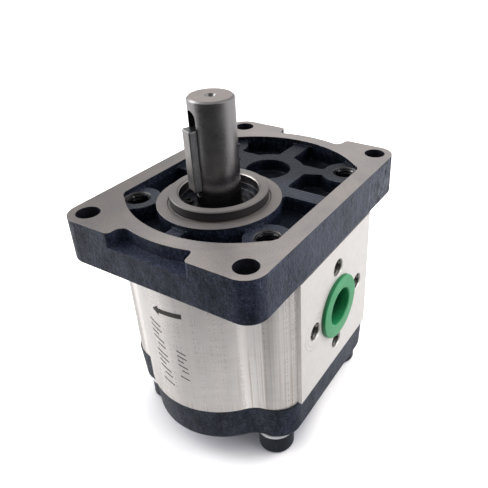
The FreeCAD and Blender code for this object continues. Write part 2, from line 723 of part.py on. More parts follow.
# ---------------- bearing blocks, their seals and bushes ----------------
def block_track(width, z0, z1):
    """The 3-shaped seal run on the outer face of a bearing block."""
    r, x, half = BLOCK_TRACK_R, BLOCK_TRACK_X, width / 2.0
    limit = rect(-40, -40, x + half, 80)
    arcs = []
    for y in (0, GEAR_CC):
        arcs += disc(0, y, r + half).cut(disc(0, y, r - half)).common(limit).Faces
    reach = math.sqrt(r * r - x * x)
    middle = rect(x - half, reach - 1.0, x + half, GEAR_CC - reach + 1.0)
    return plate(arcs + [middle], z0, z1)


def bearing_block(z0, z1, groove_span, relief_span):
    """Spans are the z ranges cut by the seal groove and by the relief pockets."""
    block = plate([disc(0, 0, BLOCK_R), disc(0, GEAR_CC, BLOCK_R)], z0, z1)
    for y in (0, GEAR_CC):
        block = block.cut(cyl(0, y, BUSH_OUT_R, z0 - 1, z1 + 1))
    block = block.cut(block_track(BLOCK_GROOVE_W, *groove_span))
    # trapped-oil relief pockets in the gear face, one on each port side
    near_x, far_x = RELIEF_POCKET_X
    low_z, high_z = relief_span
    for x0, x1 in ((near_x, far_x), (-far_x, -near_x)):
        block = block.cut(box(x0, Y_MID - RELIEF_POCKET_HALF_Y, low_z,
                              x1, Y_MID + RELIEF_POCKET_HALF_Y, high_z))
    return block


def bush(y, z0, z1):
    mouth_r = BUSH_IN_R + BUSH_CHAMFER
    sleeve = cyl(0, y, BUSH_OUT_R, z0, z1).cut(cyl(0, y, BUSH_IN_R, z0 - 1, z1 + 1))
    sleeve = sleeve.cut(cone(0, y, BUSH_IN_R, mouth_r, z1 - BUSH_CHAMFER, z1))
    return sleeve.cut(cone(0, y, mouth_r, BUSH_IN_R, z0, z0 + BUSH_CHAMFER))


front_face_z = GEAR_TOP_Z + BLOCK_GAP
rear_face_z = GEAR_BOT_Z - BLOCK_GAP
save("front_bearing_block", solid_of(bearing_block(
    front_face_z, BODY_TOP_Z, (BODY_TOP_Z - BLOCK_GROOVE_DEPTH, BODY_TOP_Z + 1),
    (front_face_z - 1, front_face_z + RELIEF_POCKET_DEPTH))))
save("rear_bearing_block", solid_of(bearing_block(
    BODY_BOT_Z, rear_face_z, (BODY_BOT_Z - 1, BODY_BOT_Z + BLOCK_GROOVE_DEPTH),
    (rear_face_z - RELIEF_POCKET_DEPTH, rear_face_z + 1))))

for name, z0, z1 in (
        ("front_pressure_seal", BODY_TOP_Z - BLOCK_GROOVE_DEPTH, BODY_TOP_Z - BACKUP_T),
        ("front_backup_strip", BODY_TOP_Z - BACKUP_T, BODY_TOP_Z),
        ("rear_pressure_seal", BODY_BOT_Z + BACKUP_T, BODY_BOT_Z + BLOCK_GROOVE_DEPTH),
        ("rear_backup_strip", BODY_BOT_Z, BODY_BOT_Z + BACKUP_T)):
    save(name, solid_of(block_track(BLOCK_SEAL_W, z0, z1)))

for end, z0, z1 in (
        ("front", front_face_z + BUSH_GEAR_INSET, BODY_TOP_Z - BUSH_OUTER_INSET),
        ("rear", BODY_BOT_Z + BUSH_OUTER_INSET, rear_face_z - BUSH_GEAR_INSET)):
    save(end + "_drive_bush", solid_of(bush(0, z0, z1)))
    save(end + "_driven_bush", solid_of(bush(GEAR_CC, z0, z1)))

# ---------------- shaft seal and retaining ring ----------------
SEAL_TOP_Z = CLIP_BOT_Z - 0.05
CASE_T = 1.6
CASE_OPENING_R = 11.6
CASE_CHAMFER = 0.6
SPRING_RING_R = 12.05
SPRING_WIRE_R = 0.5
SPRING_SEAT_R = 0.52
SPRING_Z = SEAL_TOP_Z - 4.72
# half section of the lip: radius, depth below the top of the seal
LIP_SECTION = [
    (9.55, 0.1), (11.6, 0.1), (11.6, 1.6), (14.35, 1.6), (14.35, 2.2), (11.9, 2.5),
    (12.3, 3.6), (11.9, 4.15), (11.35, 4.4), (11.3, 5.0), (11.9, 5.3), (12.1, 5.9),
    (10.6, 6.2), (9.03, 4.75), (9.35, 3.2), (10.1, 1.9), (9.03, 0.5)]

RING_CLEARANCE = 0.04     # retaining ring to each side of its groove
RING_IN_R = 13.9
RING_GAP_DIR = 180.0      # the gap faces -X
RING_LUG_DEG = 22.5       # each lug from the middle of the gap
LUG_CENTRE_R = 13.5
LUG_R = 2.3
LUG_HOLE_CENTRE_R = 13.3
LUG_HOLE_R = 1.0


def seal_case():
    z0, z1, r = SEAL_SEAT_Z, SEAL_TOP_Z, SEAL_BORE_R
    case = cyl(0, 0, r, z0, z1).cut(cyl(0, 0, r - CASE_T, z0 - 1, z1 - CASE_T))
    case = case.cut(cyl(0, 0, CASE_OPENING_R, z1 - 3, z1 + 1))
    lead_in = cone(0, 0, r - CASE_CHAMFER, r, z0, z0 + CASE_CHAMFER)
    return case.cut(cyl(0, 0, r + 1, z0, z0 + CASE_CHAMFER).cut(lead_in))


def spring_torus(wire_r):
    return Part.makeTorus(SPRING_RING_R, wire_r, Vec(0, 0, SPRING_Z), Z_AXIS)


def seal_lip():
    section = polygon_face([Vec(r, 0, SEAL_TOP_Z - depth) for r, depth in LIP_SECTION])
    return section.revolve(ORIGIN, Z_AXIS, 360).cut(spring_torus(SPRING_SEAT_R))


def retaining_ring():
    z0, z1 = CLIP_BOT_Z + RING_CLEARANCE, CLIP_TOP_Z - RING_CLEARANCE
    ring = cyl(0, 0, SEAL_BORE_R + 0.7, z0, z1)
    ring = ring.cut(cyl(0, 0, RING_IN_R, CLIP_BOT_Z - 1, CLIP_TOP_Z + 1))
    wedge = polygon_face([Vec(0, 0, -5), Vec(30, 8.2, -5), Vec(30, -8.2, -5)])
    wedge = wedge.extrude(Vec(0, 0, 8))
    wedge.rotate(ORIGIN, Z_AXIS, RING_GAP_DIR)
    ring = ring.cut(wedge)
    angles = [math.radians(RING_GAP_DIR + side * RING_LUG_DEG) for side in (-1, 1)]
    for a in angles:
        lug = cyl(LUG_CENTRE_R * math.cos(a), LUG_CENTRE_R * math.sin(a), LUG_R, z0, z1)
        ring = ring.fuse(lug.common(cyl(0, 0, SEAL_BORE_R - 0.1, -6, 2)))
    for a in angles:
        ring = ring.cut(cyl(LUG_HOLE_CENTRE_R * math.cos(a), LUG_HOLE_CENTRE_R * math.sin(a),
                            LUG_HOLE_R, -6, 2))
    return ring


save("shaft_seal_case", solid_of(seal_case()))
save("shaft_seal_lip", solid_of(seal_lip()))
save("shaft_seal_spring", solid_of(spring_torus(SPRING_WIRE_R)))
save("retaining_ring", solid_of(retaining_ring()))


# ---------------- dowels, washers and socket-head screws ----------------
def dowel(y, joint_z):
    pin = cyl(0, y, DOWEL_R, joint_z - DOWEL_HALF_LEN, joint_z + DOWEL_HALF_LEN)
    return pin.makeChamfer(DOWEL_CHAMFER, flat_edges(pin))


HEAD_TOP_Z = COVER_BOT_Z - WASHER_T      # washer face under the head
HEAD_END_Z = HEAD_TOP_Z - HEAD_H


def washer(x, y):
    disk = cyl(x, y, WASHER_R, HEAD_TOP_Z, COVER_BOT_Z)
    disk = disk.makeChamfer(WASHER_CHAMFER, flat_edges(disk))
    return disk.cut(cyl(x, y, SCREW_CLEAR_R, HEAD_TOP_Z - 1, COVER_BOT_Z + 1))


def cover_screw(x, y):
    head = cyl(x, y, HEAD_R, HEAD_END_Z, HEAD_TOP_Z)
    head = head.makeChamfer(HEAD_CHAMFER, floor_edges(head, HEAD_END_Z))
    corner_r = SOCKET_ACROSS_FLATS / math.sqrt(3)
    angles = [math.radians(60 * k + 30) for k in range(6)]
    hexagon = polygon_face([Vec(x + corner_r * math.cos(a), y + corner_r * math.sin(a),
                                HEAD_END_Z - 1) for a in angles])
    head = head.cut(hexagon.extrude(Vec(0, 0, SOCKET_DEPTH + 1)))
    head = head.cut(cone(x, y, corner_r + 0.4, corner_r - 0.6, HEAD_END_Z, HEAD_END_Z + 0.6))
    tip_z = SCREW_TIP_Z - SCREW_TIP_CHAMFER
    shank = cyl(x, y, SCREW_R, HEAD_TOP_Z, tip_z)
    shank = shank.fuse(cone(x, y, SCREW_R, SCREW_R - SCREW_TIP_CHAMFER, tip_z, SCREW_TIP_Z))
    return solid_of(head.fuse(shank))


save("front_dowel_pins", Part.makeCompound([dowel(y, BODY_TOP_Z) for y in DOWEL_YS]))
save("rear_dowel_pins", Part.makeCompound([dowel(y, BODY_BOT_Z) for y in DOWEL_YS]))
save("screw_washers", Part.makeCompound([washer(x, y) for x, y in SCREW_CENTRES]))
save("cover_screws", Part.makeCompound([cover_screw(x, y) for x, y in SCREW_CENTRES]))

# ---------------- port transit plugs ----------------
PLUG_RIM_T = 1.8
PLUG_CLEARANCE = 0.05
PLUG_FLOOR_T = 1.6
PLUG_NOSE_LEN = 1.2


def plug(side, rim_r, stem_r, cavity_r, length):
    """Rimmed cup pushed into a port, open to the outside."""
    def along(kind, r, *reaches):
        # reaches are measured outwards from the port face
        return kind(Y_MID, PORT_Z, *r, *[side * (PAD_X + reach) for reach in reaches])

    rim_x = side * (PAD_X + PLUG_RIM_T)
    nose = PLUG_NOSE_LEN - length
    rim = along(x_cyl, [rim_r], 0, PLUG_RIM_T)
    rim = rim.makeFillet(0.5, [e for e in rim.Edges
                               if abs(e.CenterOfMass.x - rim_x) < 1e-3 and e.Length > 10])
    cup = rim.fuse(along(x_cyl, [stem_r], nose, 0.5))
    cup = cup.fuse(along(x_cone, [stem_r, stem_r - 0.8], nose, -length))
    cup = cup.cut(along(x_cyl, [cavity_r], PLUG_FLOOR_T - length, PLUG_RIM_T + 1))
    return cup.cut(along(x_cone, [cavity_r + 0.4, cavity_r], PLUG_RIM_T, PLUG_RIM_T - 0.4))


save("inlet_plug", solid_of(plug(1, 14.6, INLET_R - PLUG_CLEARANCE, 8.55, 9.0)))
save("outlet_plug", solid_of(plug(-1, 11.4, OUTLET_R - PLUG_CLEARANCE, 6.2, 8.0)))
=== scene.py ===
import bpy
import bmesh
import math
import random
from mathutils import Matrix, Vector


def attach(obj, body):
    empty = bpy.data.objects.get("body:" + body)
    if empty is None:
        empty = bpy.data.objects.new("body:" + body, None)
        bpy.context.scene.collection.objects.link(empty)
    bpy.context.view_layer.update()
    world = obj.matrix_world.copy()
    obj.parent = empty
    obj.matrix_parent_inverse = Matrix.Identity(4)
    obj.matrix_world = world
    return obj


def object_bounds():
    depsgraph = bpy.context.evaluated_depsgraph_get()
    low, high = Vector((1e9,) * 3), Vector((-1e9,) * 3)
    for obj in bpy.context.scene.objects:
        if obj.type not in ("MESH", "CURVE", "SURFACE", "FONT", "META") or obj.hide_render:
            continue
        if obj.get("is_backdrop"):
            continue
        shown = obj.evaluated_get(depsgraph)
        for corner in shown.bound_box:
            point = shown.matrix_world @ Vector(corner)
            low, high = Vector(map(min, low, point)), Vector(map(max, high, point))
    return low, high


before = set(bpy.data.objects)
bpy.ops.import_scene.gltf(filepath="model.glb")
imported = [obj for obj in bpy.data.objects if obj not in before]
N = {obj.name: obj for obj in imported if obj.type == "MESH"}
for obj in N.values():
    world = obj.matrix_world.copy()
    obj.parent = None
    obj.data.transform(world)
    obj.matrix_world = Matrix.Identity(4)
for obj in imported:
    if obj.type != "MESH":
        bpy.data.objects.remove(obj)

lo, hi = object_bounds()
size = {"cad": {"low": list(lo), "high": list(hi)}}
scene = bpy.context.scene
random.seed(7)


# ------------------------------------------------------------------ node helpers
class Mat:
    """A procedural material. Coordinates are in millimetres in the part's own frame."""

    def __init__(s, name):
        s.m = bpy.data.materials.new(name)
        s.m.use_nodes = True
        s.t = s.m.node_tree
        s.t.nodes.clear()
        s.out = s.t.nodes.new("ShaderNodeOutputMaterial")
        s.b = s.t.nodes.new("ShaderNodeBsdfPrincipled")
        s.t.links.new(s.b.outputs[0], s.out.inputs[0])
        s.tc = s.t.nodes.new("ShaderNodeTexCoord")
        s.P = s.vm("SCALE", s.tc.outputs["Object"], scale=1000.0)
        sp = s.sep(s.P)
        s.x, s.y, s.z = sp
        s.Nv = s.tc.outputs["Normal"]
        s.nx, s.ny, s.nz = s.sep(s.Nv)
        s._bevel = {}

    def put(s, sock, v):
        if v is None:
            return
        if isinstance(v, bpy.types.NodeSocket):
            s.t.links.new(v, sock)
        else:
            if sock.type == "RGBA" and len(v) == 3:
                v = (*v, 1.0)
            sock.default_value = v

    def vm(s, op, a, b=None, scale=None):
        n = s.t.nodes.new("ShaderNodeVectorMath")
        n.operation = op
        s.put(n.inputs[0], a)
        if b is not None:
            s.put(n.inputs[1], b)
        if scale is not None:
            s.put(n.inputs["Scale"], scale)
        return n.outputs["Value"] if op in ("LENGTH", "DOT_PRODUCT", "DISTANCE") else n.outputs["Vector"]

    def sep(s, v):
        n = s.t.nodes.new("ShaderNodeSeparateXYZ")
        s.put(n.inputs[0], v)
        return n.outputs[0], n.outputs[1], n.outputs[2]

    def vec(s, x, y, z):
        n = s.t.nodes.new("ShaderNodeCombineXYZ")
        s.put(n.inputs[0], x), s.put(n.inputs[1], y), s.put(n.inputs[2], z)
        return n.outputs[0]

    def ma(s, op, a, b=None, c=None, clamp=False):
        n = s.t.nodes.new("ShaderNodeMath")
        n.operation = op
        n.use_clamp = clamp
        s.put(n.inputs[0], a)
        if b is not None:
            s.put(n.inputs[1], b)
        if c is not None:
            s.put(n.inputs[2], c)
        return n.outputs[0]

    def mul(s, a, b):
        return s.ma("MULTIPLY", a, b)

    def add(s, a, b):
        return s.ma("ADD", a, b)

    def sub(s, a, b):
        return s.ma("SUBTRACT", a, b)

    def mx(s, a, b):
        return s.ma("MAXIMUM", a, b)

    def mn(s, a, b):
        return s.ma("MINIMUM", a, b)

    def inv(s, a):
        return s.ma("SUBTRACT", 1.0, a)

    def step(s, v, a, b, lo=0.0, hi=1.0):
        """smooth 0 to 1 as v goes from a to b (a may be above b)"""
        n = s.t.nodes.new("ShaderNodeMapRange")
        n.interpolation_type = "SMOOTHSTEP"
        n.clamp = True
        s.put(n.inputs["Value"], v)
        if a < b:
            n.inputs["From Min"].default_value, n.inputs["From Max"].default_value = a, b
            n.inputs["To Min"].default_value, n.inputs["To Max"].default_value = lo, hi
        else:
            n.inputs["From Min"].default_value, n.inputs["From Max"].default_value = b, a
            n.inputs["To Min"].default_value, n.inputs["To Max"].default_value = hi, lo
        return n.outputs["Result"]

    def lin(s, v, a, b, lo=0.0, hi=1.0):
        n = s.t.nodes.new("ShaderNodeMapRange")
        n.clamp = True
        s.put(n.inputs["Value"], v)
        n.inputs["From Min"].default_value, n.inputs["From Max"].default_value = a, b
        n.inputs["To Min"].default_value, n.inputs["To Max"].default_value = lo, hi
        return n.outputs["Result"]

    def noise(s, vec, scale, detail=3.0, rough=0.55, dist=0.0):
        n = s.t.nodes.new("ShaderNodeTexNoise")
        s.put(n.inputs["Vector"], vec)
        s.put(n.inputs["Scale"], scale)
        n.inputs["Detail"].default_value = detail
        n.inputs["Roughness"].default_value = rough
        n.inputs["Distortion"].default_value = dist
        return n.outputs["Fac"]

    def voro(s, vec, scale, feature="F1", rand=1.0):
        n = s.t.nodes.new("ShaderNodeTexVoronoi")
        n.feature = feature
        s.put(n.inputs["Vector"], vec)
        s.put(n.inputs["Scale"], scale)
        n.inputs["Randomness"].default_value = rand
        return n.outputs["Distance"]

    def mix(s, f, a, b):
        n = s.t.nodes.new("ShaderNodeMix")
        n.data_type = "RGBA"
        s.put(n.inputs[0], f)
        s.put(n.inputs[6], a)
        s.put(n.inputs[7], b)
        return n.outputs[2]

    def mixf(s, f, a, b):
        n = s.t.nodes.new("ShaderNodeMix")
        n.data_type = "FLOAT"
        s.put(n.inputs[0], f)
        s.put(n.inputs[2], a)
        s.put(n.inputs[3], b)
        return n.outputs[0]

    def bright(s, col, f):
        """colour times a factor"""
        n = s.t.nodes.new("ShaderNodeVectorMath")
        n.operation = "SCALE"
        s.put(n.inputs[0], col if isinstance(col, bpy.types.NodeSocket) else tuple(col[:3]))
        s.put(n.inputs["Scale"], f)
        return n.outputs["Vector"]

    def bevel(s, radius_mm, samples=4):
        key = (radius_mm, samples)
        if key not in s._bevel:
            n = s.t.nodes.new("ShaderNodeBevel")
            n.samples = samples
            n.inputs["Radius"].default_value = radius_mm / 1000.0
            s._bevel[key] = n.outputs[0]
        return s._bevel[key]

    def edge(s, radius_mm, gain=6.0):
        """1 on edges and corners within about the radius, 0 elsewhere"""
        g = s.t.nodes.new("ShaderNodeNewGeometry")
        d = s.vm("DOT_PRODUCT", s.bevel(radius_mm), g.outputs["Normal"])
        return s.ma("MULTIPLY", s.sub(1.0, d), gain, clamp=True)

    def bump(s, h, dist_mm, strength=1.0, normal=None):
        n = s.t.nodes.new("ShaderNodeBump")
        n.inputs["Strength"].default_value = strength
        n.inputs["Distance"].default_value = dist_mm / 1000.0
        s.put(n.inputs["Height"], h)
        if normal is not None:
            s.put(n.inputs["Normal"], normal)
        return n.outputs[0]

    def radius(s, cx=0.0, cy=0.0):
        dx, dy = s.sub(s.x, cx), s.sub(s.y, cy)
        return s.ma("SQRT", s.add(s.mul(dx, dx), s.mul(dy, dy)))

    def set(s, **kw):
        names = {"color": "Base Color", "metal": "Metallic", "rough": "Roughness", "normal": "Normal", "spec": "Specular IOR Level",
                 "coat": "Coat Weight", "coat_rough": "Coat Roughness", "sss": "Subsurface Weight", "sss_r": "Subsurface Radius",
                 "sss_s": "Subsurface Scale", "ior": "IOR", "aniso": "Anisotropic", "aniso_rot": "Anisotropic Rotation", "tangent": "Tangent",
                 "tint": "Specular Tint", "sheen": "Sheen Weight", "sheen_rough": "Sheen Roughness", "coat_n": "Coat Normal"}
        for k, v in kw.items():
            s.put(s.b.inputs[names[k]], v)
        return s.m


def dress(name, mat):
    o = N[name]
    o.data.materials.clear()
    o.data.materials.append(mat)


# ------------------------------------------------------------------ shared finishes
PAINT = (0.020, 0.024, 0.038)
IRON = (0.44, 0.415, 0.395)


def paint_parts(m):
    """blue-black paint over sand-cast iron: (colour, roughness, height)"""
    grain = m.noise(m.P, 1.15, 4.0, 0.62)
    pits = m.voro(m.P, 1.05)
    fine = m.noise(m.P, 3.4, 2.0, 0.6)
    broad = m.noise(m.P, 0.11, 3.0, 0.5)
    weave = m.noise(m.vm("MULTIPLY", m.P, (1.0, 1.0, 1.7)), 0.62, 3.0, 0.7)
    h = m.add(m.add(m.mul(grain, 0.60), m.mul(pits, 0.45)), m.add(m.mul(fine, 0.20), m.add(m.mul(broad, 0.5), m.mul(weave, 0.5))))
    tone = m.step(m.add(m.mul(weave, 0.6), m.mul(grain, 0.4)), 0.40, 0.60)
    col = m.mix(tone, (0.014, 0.018, 0.036), (0.028, 0.034, 0.060))
    speck = m.step(grain, 0.54, 0.68)
    col = m.mix(m.mul(speck, 0.60), col, (0.085, 0.097, 0.150))
    # painted shade: the pits of the cast surface are darkened
    hollow = m.step(pits, 0.30, 0.10)
    col = m.mix(m.mul(hollow, 0.30), col, (0.006, 0.008, 0.018))
    rough = m.add(m.lin(grain, 0.3, 0.7, 0.30, 0.50), m.mul(tone, 0.08))
    # upright streaks and patches of the cast sides
    side = m.step(m.ma("ABSOLUTE", m.nz), 0.7, 0.4)
    v = m.vm("MULTIPLY", m.P, (1.0, 1.0, 0.42))
    cast1 = m.noise(v, 0.50, 4.0, 0.72)
    cast2 = m.noise(v, 0.13, 3.0, 0.6)
    cast3 = m.noise(v, 1.25, 2.0, 0.6)
    far = m.step(m.add(m.y, m.lin(cast2, 0.3, 0.7, -6.0, 6.0)), 42.0, 58.0)
    k = m.add(m.add(m.lin(cast1, 0.34, 0.66, -0.17, 0.17), m.lin(cast2, 0.34, 0.66, -0.18, 0.18)), m.lin(cast3, 0.34, 0.66, -0.15, 0.15))
    k = m.mul(m.mul(k, side), m.add(1.0, m.mul(far, 1.8)))
    # painted shade: sides facing the near (-Y) end are a little darker and shine less than the inlet side
    k = m.sub(k, m.mul(m.mul(m.step(m.ny, -0.2, -0.8), side), 0.10))
    col = m.bright(col, m.mx(m.add(1.0, m.mul(k, 1.25)), 0.25))
    col = m.mix(m.mul(m.mul(m.step(cast1, 0.55, 0.66), side), m.add(0.12, m.mul(far, 0.5))), col, (0.070, 0.105, 0.150))
    m.shine = m.mx(m.mn(m.add(0.26, m.mul(k, 0.34)), 0.75), 0.03)
    h = m.add(h, m.mul(m.mul(m.add(cast1, m.mul(cast2, 0.6)), side), m.add(0.25, m.mul(far, 0.95))))
    return col, rough, h


def machined_parts(m, cx, cy, marks=3.3):
    """turned and ground iron, marks concentric with a centre: (colour, roughness, height)"""
    r = m.radius(cx, cy)
    wob = m.noise(m.P, 0.22, 2.0, 0.5)
    rings = m.noise(m.vec(m.add(m.mul(r, marks), m.mul(wob, 0.6)), 0.0, 0.0), 1.0, 3.0, 0.7)
    wide = m.noise(m.vec(m.mul(r, 0.42), m.mul(wob, 0.8), 3.0), 1.0, 2.0, 0.5)
    blotch = m.noise(m.P, 0.055, 4.0, 0.55)
    pores = m.step(m.noise(m.P, 2.6, 2.0, 0.5), 0.66, 0.74)
    k = m.add(m.lin(rings, 0.3, 0.7, -0.05, 0.05), m.lin(wide, 0.3, 0.7, -0.045, 0.045))
    k = m.add(m.add(1.0, k), m.lin(blotch, 0.3, 0.7, -0.10, 0.10))
    col = m.bright(m.mix(m.step(blotch, 0.35, 0.65), (0.455, 0.428, 0.430), (0.468, 0.430, 0.416)), k)
    grit = m.noise(m.P, 1.5, 3.0, 0.7)
    col = m.bright(col, m.lin(grit, 0.3, 0.7, 0.86, 1.14))
    col = m.mix(m.mul(pores, 0.5), col, (0.16, 0.15, 0.15))
    rough = m.add(0.36, m.add(m.lin(rings, 0.3, 0.7, -0.05, 0.05), m.lin(blotch, 0.3, 0.7, -0.05, 0.06)))
    h = m.add(m.add(m.mul(rings, 0.6), m.mul(grit, 0.9)), m.mul(pores, -0.8))
    return col, rough, h


# ------------------------------------------------------------------ front cover
def front_cover_material():
    m = Mat("cast_iron_painted_and_faced")
    pc, pr, ph = paint_parts(m)
    mc, mr, mh = machined_parts(m, 0.0, 0.0)
    r0 = m.radius(0, 0)
    ragged = m.lin(m.noise(m.P, 0.9, 3.0, 0.6), 0.3, 0.7, -0.03, 0.03)
    zz = m.add(m.z, ragged)
    face = m.mul(m.step(zz, -0.09, -0.04), m.step(m.nz, 0.55, 0.8))
    spigot = m.mul(m.step(r0, 20.75, 20.65), m.step(m.z, -0.45, -0.36))
    bare = m.mx(face, spigot)
    # seal bore: steel, darkened nearly to black as painted shade
    bore = m.mul(m.step(r0, 16.95, 16.85), m.step(m.z, 3.35, 3.2))
    # the four fixing holes, drilled through the paint; their walls are darkened nearly to black as painted shade
    hx, hy = m.sub(m.ma("ABSOLUTE", m.x), 37.25), m.sub(m.ma("ABSOLUTE", m.sub(m.y, 18.0)), 53.0)
    hr = m.ma("SQRT", m.add(m.mul(hx, hx), m.mul(hy, hy)))
    drilled = m.mul(m.step(hr, 4.85, 4.8), m.step(m.z, 0.0, -0.05))
    # tapped holes: bare metal, darkened as painted shade
    tx, ty = m.sub(m.ma("ABSOLUTE", m.x), 32.0), m.sub(m.ma("ABSOLUTE", m.sub(m.y, 18.0)), 31.8)
    tr = m.ma("SQRT", m.add(m.mul(tx, tx), m.mul(ty, ty)))
    tapped = m.mul(m.step(tr, 5.55, 5.5), m.step(m.z, -1.98, -2.02))
    e = m.edge(0.45, 5.0)
    chip = m.mul(e, m.step(m.noise(m.P, 1.1, 4.0, 0.7), 0.50, 0.60))
    out = m.mul(m.step(m.ma("ABSOLUTE", m.x), 45.0, 45.3), m.step(m.z, -0.4, -1.5))
    out2 = m.mul(m.step(m.ma("ABSOLUTE", m.sub(m.y, 18.0)), 60.4, 60.8), m.step(m.z, -0.4, -1.5))
    outer = m.mx(out, out2)
    # the rough, rubbed patch on the far end of the inlet side, and small knocks along the outside
    dx = m.vm("LENGTH", m.vm("MULTIPLY", m.vm("SUBTRACT", m.P, (46.0, 62.5, -12.5)), (0.02, 0.12, 0.21)))
    scuff = m.mul(m.mul(m.step(dx, 1.1, 0.4), outer), m.step(m.noise(m.vm("MULTIPLY", m.P, (1.0, 1.0, 0.45)), 0.75, 5.0, 0.7), 0.47, 0.58))
    nicks = m.mul(outer, m.step(m.noise(m.P, 0.55, 5.0, 0.75), 0.655, 0.70))
    worn = m.mx(m.mul(scuff, 0.55), m.mul(nicks, 0.5))
    # paint in the pocket lies thicker and shines more; as painted shade its colour is also darkened, most in the deep
    # cells and towards the near side
    pocket = m.mul(m.mul(m.step(m.ma("ABSOLUTE", m.x), 37.9, 37.6), m.step(r0, 15.0, 16.9)), m.step(m.z, -0.02, -0.1))
    pocket = m.mul(pocket, m.step(m.radius(0, 18), 51.2, 50.8))
    deep = m.mul(pocket, m.step(m.z, -2.6, -4.2))
    pr2 = m.mixf(pocket, pr, m.mul(pr, 0.72))
    pr2 = m.mixf(deep, pr2, 0.15)
    pc = m.bright(pc, m.mixf(deep, m.mixf(pocket, 1.0, m.step(m.y, 2.0, -14.0, 0.80, 0.58)), 0.45))
    # painted shade: the far side of the pocket is darkened further and shines less
    back = m.mul(pocket, m.step(m.add(m.y, m.mul(m.x, -0.5)), 12.0, 34.0))
    pc = m.bright(pc, m.sub(1.0, m.mul(back, 0.62)))
    col = m.mix(m.mul(worn, 0.8), pc, (0.22, 0.235, 0.27))
    col = m.mix(m.mul(chip, 0.55), col, (0.20, 0.20, 0.21))
    col = m.mix(tapped, col, (0.085, 0.083, 0.083))
    col = m.mix(drilled, col, m.mix(0.8, m.bright(mc, 0.10), (0.010, 0.011, 0.020)))
    col = m.mix(bore, col, (0.020, 0.021, 0.026))
    # painted shade: the spigot's outer wall is darkened nearly to black, and made less metallic and less shiny
    wall = m.mul(m.mul(spigot, m.step(m.z, 0.0, 0.1)), m.step(m.nz, 0.5, 0.2))
    top = m.mul(m.step(m.z, 3.6, 3.75), m.step(r0, 21.0, 20.6))
    land = m.mul(m.step(r0, 29.0, 28.5), m.step(m.z, 0.3, 0.1))
    mc2 = m.bright(mc, m.mixf(land, 1.0, 0.60))
    # painted shade: the ground face is darkened towards the -X near corner; at the near end it is also a little rougher
    # and less metallic
    u = m.add(m.x, m.mul(m.y, 0.35))
    plate = m.step(r0, 29.5, 30.5)
    near_end = m.step(m.y, -12.0, -24.0)
    tone = m.mul(m.step(u, -50.0, 6.0, 0.54, 1.0), m.sub(1.0, m.mul(near_end, 0.12)))
    mc2 = m.bright(mc2, m.mixf(plate, 1.0, tone))
    mc2 = m.mix(m.mul(wall, 0.95), mc2, (0.012, 0.011, 0.014))
    mc2 = m.mix(m.mul(top, 0.75), mc2, (0.170, 0.165, 0.163))
    # painted shade: the spigot's inner top chamfer is darkened
    cham = m.mul(m.mul(m.mul(spigot, m.step(r0, 18.2, 18.6)), m.step(m.z, 3.70, 3.84)), m.step(m.nz, 0.93, 0.85))
    mc2 = m.mix(m.mul(cham, 0.6), mc2, (0.12, 0.118, 0.120))
    col = m.mix(bare, col, mc2)
    ln = m.mx(bare, m.mul(tapped, 0.9))
    metal = m.mx(ln, m.mx(m.mul(drilled, 0.35), m.mx(m.mul(bore, 0.55), m.mul(worn, 0.5))))
    metal = m.mul(metal, m.sub(1.0, m.mx(m.mul(m.mul(plate, near_end), 0.30), m.mx(m.mul(top, 0.55), m.mx(m.mul(wall, 0.6), m.mul(land, 0.35))))))
    rough = m.mixf(bare, pr2, m.add(mr, m.mx(m.mul(m.mx(land, top), 0.14), m.mul(m.mul(plate, near_end), 0.08))))
    rough = m.mixf(bore, rough, 0.22)
    rough = m.mixf(tapped, rough, 0.3)
    nb = m.bevel(0.45)
    floor_grit = m.mul(m.mul(deep, m.step(m.nz, 0.6, 0.9)), m.noise(m.P, 1.9, 3.0, 0.7))
    height = m.mixf(m.mx(bare, bore), m.add(ph, m.mul(floor_grit, 2.2)), m.mul(mh, 0.0))
    n1 = m.bump(height, 0.24, 1.0, nb)
    n2 = m.bump(m.mul(mh, bare), 0.016, 0.8, n1)
    return m.set(color=col, metal=metal, rough=rough, normal=n2, spec=m.mixf(wall, m.mixf(deep, m.mixf(back, m.mixf(pocket, m.shine, 0.42), 0.20), 0.36), 0.14), tint=m.mix(m.mx(bare, tapped), (0.72, 0.84, 1.0, 1.0), (1.0, 1.0, 1.0, 1.0)))


def rear_cover_material():
    m = Mat("cast_iron_painted")
    pc, pr, ph = paint_parts(m)
    e = m.edge(0.5, 5.0)
    chip = m.mul(e, m.step(m.noise(m.P, 1.2, 4.0, 0.7), 0.55, 0.63))
    nicks = m.step(m.noise(m.P, 0.5, 5.0, 0.75), 0.67, 0.71)
    col = m.mix(m.mul(chip, 0.5), pc, (0.22, 0.22, 0.23))
    col = m.mix(m.mul(nicks, 0.35), col, (0.12, 0.13, 0.16))
    col = m.bright(col, 0.80)
    joint = m.step(m.z, -82.1, -81.8)
    col = m.mix(m.mul(joint, 0.75), col, (0.012, 0.013, 0.016))
    nb = m.bevel(0.5)
    n1 = m.bump(ph, 0.24, 1.0, nb)
    return m.set(color=col, rough=m.add(pr, 0.02), metal=m.mul(chip, 0.6), normal=n1, spec=m.shine, tint=(0.72, 0.84, 1.0, 1.0))


